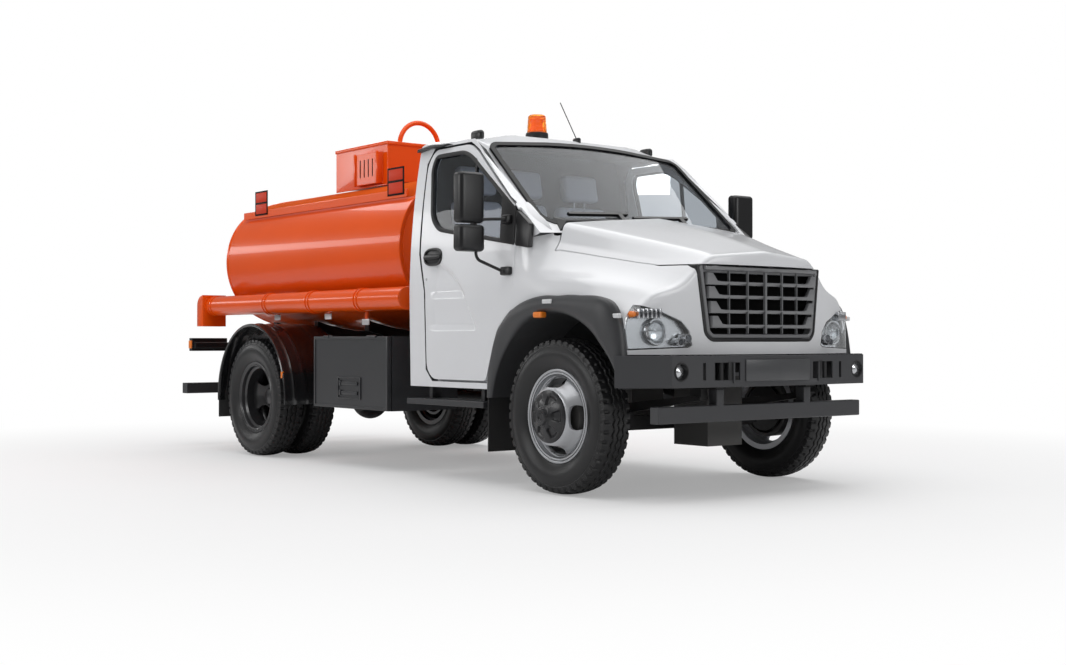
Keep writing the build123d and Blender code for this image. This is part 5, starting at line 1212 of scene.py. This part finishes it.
surround = flat_ring("grille_surround", GRILLE_OUTLINE, shrunk(GRILLE_OUTLINE, 0.022), -0.004, 0.060)
place_piece(bowed(surround), "chassis", trim_black)
parts = [flat_ring("frame", shrunk(GRILLE_OUTLINE, 0.023), shrunk(GRILLE_OUTLINE, 0.046),
                   -0.002, 0.050, 0.004)]
BARS = [1.0185, 1.105, 1.1925, 1.2725, 1.360]
BAR_HALF, WING, WING_RISE = 0.0105, 0.074, 0.050     # the wings are the bars' upturned ends
for z in BARS:
    half = grille_edge(z, 0.052)
    rise = 0.0 if z == BARS[-1] else WING_RISE
    top = [(half, z + BAR_HALF + rise), (half - WING * 0.55, z + BAR_HALF + rise),
           (half - WING, z + BAR_HALF + 0.004), (half - WING - 0.03, z + BAR_HALF)]
    line = [(-x, h) for x, h in top] + top[::-1] + [(half, z - BAR_HALF), (-half, z - BAR_HALF)]
    parts.append(prism("bar", line, "y", -0.016, 0.014, bevel=0.005))
for x in (-0.295, -0.150, 0.0, 0.150, 0.295):
    wide = 0.008 if x == 0 else 0.0035
    parts.append(prism("post", [(x - wide, 0.975), (x + wide, 0.975), (x + wide, 1.345), (x - wide, 1.345)],
                       "y", 0.002, 0.022, bevel=0.002, bevel_steps=2))
grille = joined("grille_bars", parts, 35)
place_piece(bowed(grille), "chassis", grille_paint, ("grille",))
# Painted shade: a flat black sheet behind the bars stands for the dark inside of the grille.
shade_sheet = prism("grille_shade_sheet", shrunk(GRILLE_OUTLINE, 0.010), "y", 0.048, 0.056)
place_piece(bowed(shade_sheet), "chassis", painted_shade_black)


# ================================================================ bumper
# Folded steel bumper, painted dark grey: tread pattern on its top, hook windows with towing
# jaws, two fog lamps and a plain centre plate. The underrun bar hangs below it.
bumper_paint = finish("bumper_paint", (0.046, 0.047, 0.051), (0.058, 0.059, 0.063), (0.28, 0.38), 700,
                      0.12)
eased_copy("front_bumper", bumper_paint, 0.013)
eased_copy("front_underrun_bar", bumper_paint, 0.006)
BUMPER_FACE = -0.907


def face_y(x):
    """Station of the bumper's front face at x."""
    return np.interp(np.abs(x), [0, 0.834, 1.05], [BUMPER_FACE, -0.854, -0.606])


def onto_bumper(spots):
    """Lays a flat piece on the bumper's face."""
    spots[:, 1] += face_y(spots[:, 0])


plate = moved(prism("centre_plate", rounded([
    (-0.278, 0.694), (0, 0.694), (0.278, 0.694), (0.278, 0.823), (0, 0.823), (-0.278, 0.823)], 0.010),
    "y", -0.008, 0.0, bevel=0.003), onto_bumper)
plate_grey = finish("centre_plate_grey", (0.070, 0.072, 0.076), None, (0.25, 0.35), 300, 0.05)
place_piece(plate, "chassis", plate_grey)

FOG_X, FOG_Z = 0.763, 0.7545
treads, fog_parts, hook_parts = [], [], []
for side in SIDES.values():
    for row in range(3):
        for k in range(9):
            x = 0.47 + 0.045 * k + 0.0225 * (row % 2)
            y = face_y(x) + 0.018 + 0.020 * row
            treads.append(block("tread", span(side, x - 0.014, x + 0.014), (y - 0.0035, y + 0.0035),
                                (0.8455, 0.8515), 0.003, 0.001))
    fog = (side * FOG_X, face_y(FOG_X), FOG_Z)
    fog_parts.append(lathe("fog_ring", [(-0.003, 0.046), (-0.004, 0.053), (0.004, 0.056), (0.030, 0.049),
                                        (0.060, 0.046), (0.060, 0.001), (0.052, 0.001),
                                        (0.044, 0.034)], fog, "y"))
    hook_parts += [
        block("jaw", span(side, 0.372, 0.412), (-0.885, -0.760), (0.700, 0.812), 0.010, 0.006),
        tube("pin", [(side * 0.452, -0.860, 0.690), (side * 0.452, -0.860, 0.820)], 0.016, 16, 0),
        block("back", span(side, 0.300, 0.690), (-0.800, -0.790), (0.680, 0.826), 0.004, 0.002)]
tread = joined("bumper_tread", treads)
place_piece(tread, "chassis", bumper_paint)
fogs = joined("fog_lamp_rings", fog_parts, 35)
place_piece(fogs, "chassis", trim_black)
fog_lenses = joined("fog_lamp_lenses", [lathe("fog", [
    (0.000, 0.0005), (0.004, 0.020), (0.014, 0.040), (0.030, 0.043), (0.030, 0.0005)],
    (side * (FOG_X + 0.007), face_y(FOG_X) + 0.006, FOG_Z), "y", 32) for side in SIDES.values()], 35)
place_piece(fog_lenses, "chassis", chrome)
hooks = joined("towing_jaws", hook_parts, 35)
place_piece(hooks, "chassis", seal_rubber)


# ================================================================ wheel arch flares
# Textured grey plastic flare round each front wheel: a rounded lip, a broad swelling face and
# the liner that runs in over the wheel.
trim_grey = finish("flare_plastic", (0.034, 0.035, 0.038), (0.044, 0.045, 0.048), (0.36, 0.46), 900, 0.25)
FLARE_SECTION = [  # share from the outer outline to the arch, and how far it stands out
    (0.00, 0.000), (0.00, 0.016), (0.02, 0.026), (0.07, 0.036), (0.20, 0.046), (0.50, 0.052), (0.72, 0.050),
    (0.86, 0.043), (0.95, 0.030), (1.00, 0.012), (1.00, -0.010)]
ARCH_LIP = 0.627        # radius of the opening round the axle
FLARE_FOOT = 0.568      # height at which the flare ends
FLARE = [  # station and height round its outer edge
    (0.672, FLARE_FOOT), (0.642, 0.810), (0.568, 1.0), (0.404, 1.127), (0.210, 1.191), (-0.056, 1.200),
    (-0.270, 1.198), (-0.430, 1.192), (-0.530, 1.168), (-0.612, 0.878), (-0.618, 0.660)]


def flare(name, side):
    """Grid of angle round the wheel by section. The section runs from the wing's side out over
    the face, round the lip, in along the liner and back along its rear face."""
    count = 120
    outer = np.array(FLARE)
    a = np.arctan2(outer[:, 1] - TYRE_RADIUS, -outer[:, 0])
    reach = np.hypot(outer[:, 0], outer[:, 1] - TYRE_RADIUS)
    order = np.argsort(-a)
    turn = np.linspace(a.max() - 0.001, a.min(), count)
    shifts = np.linspace(-0.12, 0.12, 25)
    kernel = np.exp(-0.5 * (shifts / 0.045) ** 2)
    kernel /= kernel.sum()
    size = sum(w * np.interp(-(turn + o), -a[order], reach[order]) for w, o in zip(kernel, shifts))
    taper = 1 - 0.62 * smooth_step(turn, 1.85, 2.45)
    rows = [(size + (ARCH_LIP - size) * share, 1.004 + out * taper) for share, out in FLARE_SECTION]
    wall = ARCH_LIP + 0.010
    rows += [(np.full(count, r), np.full(count, x))
             for r, x in ((ARCH_LIP, 0.600), (wall, 0.600), (wall, 0.970))]
    rows.append((size - 0.004, np.full(count, 0.985)))
    points = np.stack([np.stack([side * x, AXLE - r * np.cos(turn), TYRE_RADIUS + r * np.sin(turn)], -1)
                       for r, x in rows], 1)
    points[..., 2] = np.maximum(points[..., 2], FLARE_FOOT)
    ahead = AXLE - points[..., 1]
    points[..., 0] -= side * 0.036 * smooth_step(ahead, 0.44, 0.62) * (np.abs(points[..., 0]) > 0.7)
    return tidy(capped(grid_mesh(name, points, wrap=(False, True)), 40), 45)


flares = joined("wheel_arch_mouldings", [flare("flare", side) for side in SIDES.values()], 45)
place_piece(flares, "chassis", trim_grey, ("wheel_arch_flares",))
flap_rubber = finish("flap_rubber", (0.016, 0.016, 0.017), None, (0.55, 0.75), 300, 0.3, dust=0.06)
eased_copy("front_mudflaps", flap_rubber, 0.002)
white_lens = finish("white_lens", (0.72, 0.73, 0.74), (0.62, 0.63, 0.64), (0.1, 0.2), 90, 0.05, coat=0.5)
for label, side in SIDES.items():
    pale = joined(f"side_markers_{label}", [
        block("upper", span(side, 1.010, 1.062), (-0.040, 0.050), (1.156, 1.184), 0.010, 0.006),
        block("front", span(side, 0.985, 1.016), (-0.600, -0.530), (1.062, 1.090), 0.008, 0.006)], 35)
    place_piece(pale, "chassis", white_lens)
    repeater = block(f"side_repeater_{label}", span(side, 1.030, 1.077), (0.035, 0.120),
                     (1.072, 1.108), 0.012, 0.010)
    place_piece(repeater, "chassis", amber_core)


# ================================================================ tank
# Rolled steel tank with dished heads inside raised rims, side rails on top, hose tubes along
# both sides and the housing over its filler, all in gloss orange.
tank_paint = finish("tank_orange", (0.84, 0.094, 0.003), (0.75, 0.080, 0.002), (0.26, 0.34), 50, 0.012,
                    coat=0.42, specular=0.15)
TANK_FRONT, TANK_REAR, TANK_Z = 1.860, 4.600, 1.604
TANK_HALF, TANK_RISE, SHOULDER = 0.945, 0.600, 0.758


def arc_between(a, b, c, count):
    """Points of the circle through a, b and c, from a to c."""
    (ax, ay), (bx, by), (cx, cy) = a, b, c
    d = 2 * (ax * (by - cy) + bx * (cy - ay) + cx * (ay - by))
    ux = ((ax**2 + ay**2) * (by - cy) + (bx**2 + by**2) * (cy - ay) + (cx**2 + cy**2) * (ay - by)) / d
    uy = ((ax**2 + ay**2) * (cx - bx) + (bx**2 + by**2) * (ax - cx) + (cx**2 + cy**2) * (bx - ax)) / d
    start, mid, stop = (np.arctan2(p[1] - uy, p[0] - ux) for p in (a, b, c))
    mid = start + (mid - start + pi) % tau - pi
    stop = mid + (stop - mid + pi) % tau - pi
    t = np.linspace(start, stop, count)
    r = np.hypot(ax - ux, ay - uy)
    return np.stack([ux + r * np.cos(t), uy + r * np.sin(t)], 1)


def tank_line():
    """Closed cross section of four arcs whose corners are rounded by a running mean."""
    w, h = TANK_HALF, TANK_RISE
    sx, sz = SHOULDER * w, SHOULDER * h
    ways = [((-sx, sz), (0, h), (sx, sz)), ((sx, sz), (w, 0), (sx, -sz)),
            ((sx, -sz), (0, -h), (-sx, -sz)), ((-sx, -sz), (-w, 0), (-sx, sz))]
    arcs = [arc_between(*way, 40) for way in ways]
    line = np.vstack([arc[:-1] for arc in arcs])
    shifts = np.arange(-14, 15)
    weights = np.exp(-0.5 * (shifts / 5.5) ** 2)
    weights /= weights.sum()
    return sum(weight * np.roll(line, k, 0) for weight, k in zip(weights, shifts))


def tank_body():
    """Cross section by station: straight shell, raised rims, then the heads domed outwards."""
    line = tank_line()
    r = np.linalg.norm(line, axis=1)[:, None]
    rows = [(TANK_FRONT - 0.105 * (1 - q ** 2.4) + 0.012, q * 0.955, 0) for q in np.linspace(0.02, 1, 14)]
    rows += [(TANK_FRONT + along, 1.0, grow) for along, grow in (
        (0.004, -0.030), (-0.010, -0.004), (-0.012, 0.002), (-0.006, 0.006), (0.012, 0.006), (0.018, 0.0))]
    straight = [(s, 1.0, 0) for s in np.linspace(TANK_FRONT + 0.03, TANK_REAR - 0.03, 24)]
    back = [(TANK_REAR - (station - TANK_FRONT), q, grow) for station, q, grow in rows][::-1]
    points = []
    for station, q, grow in rows + straight + back:
        loop = line * q + line / r * grow
        points.append(np.stack([loop[:, 0], np.full(len(loop), AXLE + station), TANK_Z + loop[:, 1]], -1))
    return tidy(capped(grid_mesh("tank_body", np.array(points), wrap=(False, True)), 200), 28)


place_piece(tank_body(), "chassis", tank_paint, ("tank_shell",))
walkway_grit = finish("walkway_grit", (0.62, 0.085, 0.006), (0.52, 0.070, 0.005), (0.85, 0.95), 900, 0.6,
                      specular=0.05)
line = tank_line()
top = line[(np.abs(line[:, 0]) < 0.775) & (line[:, 1] > 0)]
top = top[np.argsort(top[:, 0])]
loop = np.vstack([top + (0, 0.004), top[::-1] - (0, 0.004)])
stations = np.linspace(TANK_FRONT + 0.04, TANK_REAR - 0.04, 12)
walkway = grid_mesh("tank_walkway", np.stack([
    np.stack([loop[:, 0], np.full(len(loop), AXLE + s), TANK_Z + loop[:, 1]], -1) for s in stations]),
    wrap=(False, True))
place_piece(tidy(walkway, 40), "chassis", walkway_grit)
for node in ("neck_housing", "tank_rails", "vent_pipe", "discharge_outlet"):
    eased_copy(node, tank_paint, 0.005)

HOSE_RADIUS = 0.082
hose_parts, reflector_parts = [], []
for side in SIDES.values():
    outline = [(1.660, 0.001), (1.660, HOSE_RADIUS - 0.004), (1.664, HOSE_RADIUS)]
    for ring in (2.250, 2.970, 3.680, 4.680):
        for s in (ring - 0.020, ring + 0.020):
            outline += [(s - 0.011, HOSE_RADIUS), (s - 0.009, HOSE_RADIUS + 0.007),
                        (s + 0.009, HOSE_RADIUS + 0.007), (s + 0.011, HOSE_RADIUS)]
    outline += [(4.740, HOSE_RADIUS), (4.740, 0.001)]
    hose_parts.append(lathe("hose", outline, (side * 0.980, 0, 1.230), "y", 56))
    a = np.linspace(0, pi / 2, 12)
    elbow = [(4.740, 1.055), (4.860, 1.055)] + list(zip(4.750 + 0.110 * np.cos(a), 1.235 + 0.090 * np.sin(a)))
    hose_parts.append(prism("end", elbow + [(4.740, 1.325)], "x", *span(side, 0.870, 1.090), bevel=0.008))
    for ring in (2.250, 2.970, 3.680, 4.620):
        hose_parts.append(block("strap", span(side, 0.800, 0.930), (ring - 0.015, ring + 0.015),
                                (1.165, 1.255), 0.004, 0.003))
    for y, z in ((3.727, 1.120), (2.903, 1.118), (2.350, 1.070)):
        reflector_parts.append(block("reflector", span(side, 0.898, 0.906), (y - 0.050, y + 0.050),
                                     (z - 0.022, z + 0.022), 0.003, 0.002))
        hose_parts.append(block("bracket", span(side, 0.888, 0.900), (y - 0.020, y + 0.020),
                                (z - 0.010, 1.200), 0.003, 0.002))
hoses = joined("hose_tube_pair", hose_parts, 35)
place_piece(hoses, "chassis", tank_paint, ("hose_tubes",))
place_piece(joined("tank_side_reflectors", reflector_parts), "chassis", white_lens)

VENT_FACE = 0.470
# The vent's slots are not cut: black blocks on its face are painted shade for the dark inside of each slot.
slots, lips = [], []
for side in SIDES.values():
    for k in range(4):
        y = 2.965 + 0.062 * k
        slots.append(block("slot", span(side, VENT_FACE - 0.01, VENT_FACE + 0.001), (y - 0.008, y + 0.008),
                           (2.235, 2.375), 0.003, 0.0004))
    for y in (2.880, 3.215):
        lips.append(block("lip", span(side, VENT_FACE - 0.004, VENT_FACE + 0.010), (y, y + 0.025),
                          (2.170, 2.430), 0.004, 0.003))
lips.append(block("lid", (-0.428, 0.428), (2.812, 3.628), (2.478, 2.506), 0.012, 0.006))
slot_shade_set = joined("vent_slot_shades", slots)
place_piece(slot_shade_set, "chassis", painted_shade_black)
lip_set = joined("vent_box_lips", lips, 35)
place_piece(lip_set, "chassis", tank_paint)


# ================================================================ plates
# Thin steel plates, orange with a black border and a black bar across the middle, left blank.
plate_paint = finish("plate_orange", (0.60, 0.034, 0.004), None, (0.40, 0.50), 300, 0.05, specular=0.2)
border_paint = finish("plate_border", (0.003, 0.003, 0.003), None, (0.45, 0.55), 300, 0.05, specular=0.1)
borders, fields = [], []
for side in SIDES.values():
    for start, stop in ((1.965, 2.190), (4.075, 4.300)):
        x = side * 0.814
        borders.append(block("border", sorted((x - side * 0.002, x + side * 0.002)), (start, stop),
                             (1.990, 2.195), 0.002, 0.001))
        for low, high in ((2.004, 2.084), (2.101, 2.181)):
            for out in (-1, 1):
                fields.append(block("field", sorted((x + out * 0.0016, x + out * 0.0026)),
                                    (start + 0.018, stop - 0.018), (low, high), 0.004, 0.0003))
border_set = joined("plate_borders", borders)
place_piece(border_set, "chassis", border_paint, ("hazard_plates",))
field_set = joined("plate_fields", fields)
place_piece(field_set, "chassis", plate_paint)


# ================================================================ side boxes
# Folded sheet toolbox with a framed drop-down front, and the fuel tank on the other side.
box_paint = finish("box_paint", (0.020, 0.021, 0.024), (0.026, 0.027, 0.030), (0.34, 0.46), 400, 0.08,
                   dust=0.03)
for node in ("toolbox", "toolbox_door", "fuel_tank"):
    eased_copy(node, box_paint, 0.004)
LID_FACE = -1.050
parts = []
for name, out, (front, rear), (low, high), wide in (
        ("rim", 0.006, (1.806, 2.854), (0.436, 0.962), 0.020),
        ("latch_rim", 0.008, (2.172, 2.500), (0.505, 0.666), 0.014)):
    reach = (LID_FACE - out, LID_FACE - out + 0.010)
    tall = 0.020 if name == "rim" else 0.010
    for y, z in (((front, front + wide), (low, high)), ((rear - wide, rear), (low, high)),
                 ((front + wide, rear - wide), (low, low + tall)),
                 ((front + wide, rear - wide), (high - tall, high))):
        parts.append(block(name, reach, y, z, 0.002, 0.002))
for z in (0.536, 0.606):
    parts.append(block("handle", (LID_FACE - 0.010, LID_FACE - 0.001), (2.215, 2.440), (z, z + 0.026),
                       0.004, 0.002))
    parts.append(block("catch", (LID_FACE - 0.014, LID_FACE - 0.001), (2.445, 2.470),
                       (z - 0.004, z + 0.034), 0.004, 0.002))
for y in (1.990, 2.660):
    parts.append(tube("hinge", [(LID_FACE - 0.004, y - 0.035, 0.962), (LID_FACE - 0.004, y + 0.035, 0.962)],
                      0.010, 12, 0))
lid_trim = joined("toolbox_lid_trim", parts, 35)
place_piece(lid_trim, "toolbox_lid", box_paint)


# ================================================================ rear mudguards
# Glossy black plastic guards with raised hoops, each with a flap of rubber behind it.
guard_gloss = finish("guard_gloss", (0.010, 0.010, 0.011), (0.015, 0.015, 0.016), (0.16, 0.26), 200, 0.05,
                     coat=0.5)
guard_parts, flap_parts, dot_parts = [], [], []
for side in SIDES.values():
    across = np.concatenate([[0.585, 0.587], np.linspace(0.60, 1.10, 40),
                             [1.118, 1.128, 1.131, 1.128, 1.115]])
    turn = np.linspace(radians(-4), radians(184), 110)
    rib = sum(np.exp(-((across - m) / 0.012) ** 2) for m in (0.66, 0.76, 0.95, 1.05))
    top = 0.5875 + 0.007 * rib
    top[:1], top[-5:] = 0.585, [0.590, 0.588, 0.583, 0.577, 0.574]
    loop_x = np.concatenate([across, across[::-1]])
    loop_r = np.concatenate([top + 0.004, top[::-1] - 0.004])
    points = np.stack([np.broadcast_to(side * loop_x, (len(turn), len(loop_x))),
                       AXLE + REAR_AXLE - np.outer(np.cos(turn), loop_r),
                       TYRE_RADIUS + np.outer(np.sin(turn), loop_r)], -1)
    guard = grid_mesh("guard", points, wrap=(False, True))
    guard_parts.append(tidy(guard, 40))
    for y in (REAR_AXLE - 0.480, REAR_AXLE + 0.480):
        guard_parts.append(tube("arm", [(side * 0.432, y, 0.80), (side * 0.700, y, 0.806)], 0.018, 12, 0))
    flap_parts.append(block("flap", span(side, 0.720, 1.120), (4.355, 4.363), (0.293, 0.547), 0.003, 0.002))
    dot_parts.append(block("dot", span(side, 1.116, 1.136), (3.215, 3.235), (0.640, 0.690), 0.004, 0.002))
guards = joined("mudguard_hoops", guard_parts, 35)
place_piece(guards, "chassis", guard_gloss, ("rear_mudguards",))
flaps = joined("rear_flaps", flap_parts, 35)
place_piece(flaps, "chassis", flap_rubber)


# ================================================================ rear end, steps and lamps
# Underrun beam, lamp beam with its two rear lamps, and the cab steps.
for node in ("cab_steps", "rear_underrun_bar"):
    eased_copy(node, box_paint, 0.005)
red_lens = finish("red_lens", (0.50, 0.012, 0.010), (0.40, 0.008, 0.008), (0.08, 0.16), 80, 0.03, coat=0.6)
eased_copy("rear_lamps", trim_black, 0.004, "rear_lamp_beam")
red_parts, orange_parts = [], []
for side in SIDES.values():
    red_parts.append(block("red", span(side, 0.70, 0.90), (5.166, 5.178), (0.855, 0.940), 0.006, 0.004))
    orange_parts.append(block("end", span(side, 0.905, 1.012), (5.166, 5.178), (0.855, 0.940),
                              0.006, 0.004))
    orange_parts.append(block("cap", span(side, 1.016, 1.028), (5.112, 5.168), (0.862, 0.932),
                              0.006, 0.004))
place_piece(joined("rear_red_lenses", red_parts), "chassis", red_lens)
place_piece(joined("rear_amber_lenses", orange_parts), "chassis", amber_core)
place_piece(joined("guard_markers", dot_parts), "chassis", amber_core)


# ================================================================ cab interior
# Three cloth seats with headrests, the moulded dashboard and the steering wheel.
# Blue-grey seat cloth, painted paler than the cloth itself: partly painted light for the light that the
# closed cab lets in too little of.
seat_cloth_painted_light = finish("seat_cloth_painted_light", (0.46, 0.48, 0.55), (0.54, 0.56, 0.63), (0.8, 0.95), 900, 0.5)
dash_grain = finish("dash_grain", (0.035, 0.035, 0.038), None, (0.5, 0.65), 900, 0.4)
CUSHION = rounded([(0.82, 1.32), (1.36, 1.30), (1.36, 1.12), (0.90, 1.10)], 0.05)
BACK = rounded([(1.265, 1.30), (1.395, 1.28), (1.530, 1.90), (1.420, 1.925)], 0.05)
HEADREST = rounded([(1.410, 1.965), (1.505, 1.955), (1.532, 2.150), (1.445, 2.160)], 0.035)
seat_parts = []
for middle, half in ((0.415, 0.225), (-0.530, 0.200), (-0.115, 0.190)):
    for name, outline, wide, soft in (("cushion", CUSHION, half, 0.035), ("back", BACK, half, 0.040),
                                      ("rest", HEADREST, 0.155, 0.035)):
        seat_parts.append(prism(name, outline, "x", middle - wide, middle + wide, bevel=soft, bevel_steps=5))
    for x in (middle - 0.05, middle + 0.05):
        seat_parts.append(tube("stem", [(x, 1.470, 1.86), (x, 1.470, 1.98)], 0.008, 10, 0))
seats = joined("seat_cushions", seat_parts, 40)
place_piece(seats, "chassis", seat_cloth_painted_light, ("seats",))
eased_copy("dashboard", dash_grain, 0.015)
keep_solid("steering_wheel", dash_grain)
for node in ("cowl_panel", "wipers"):
    eased_copy(node, trim_black, 0.002)
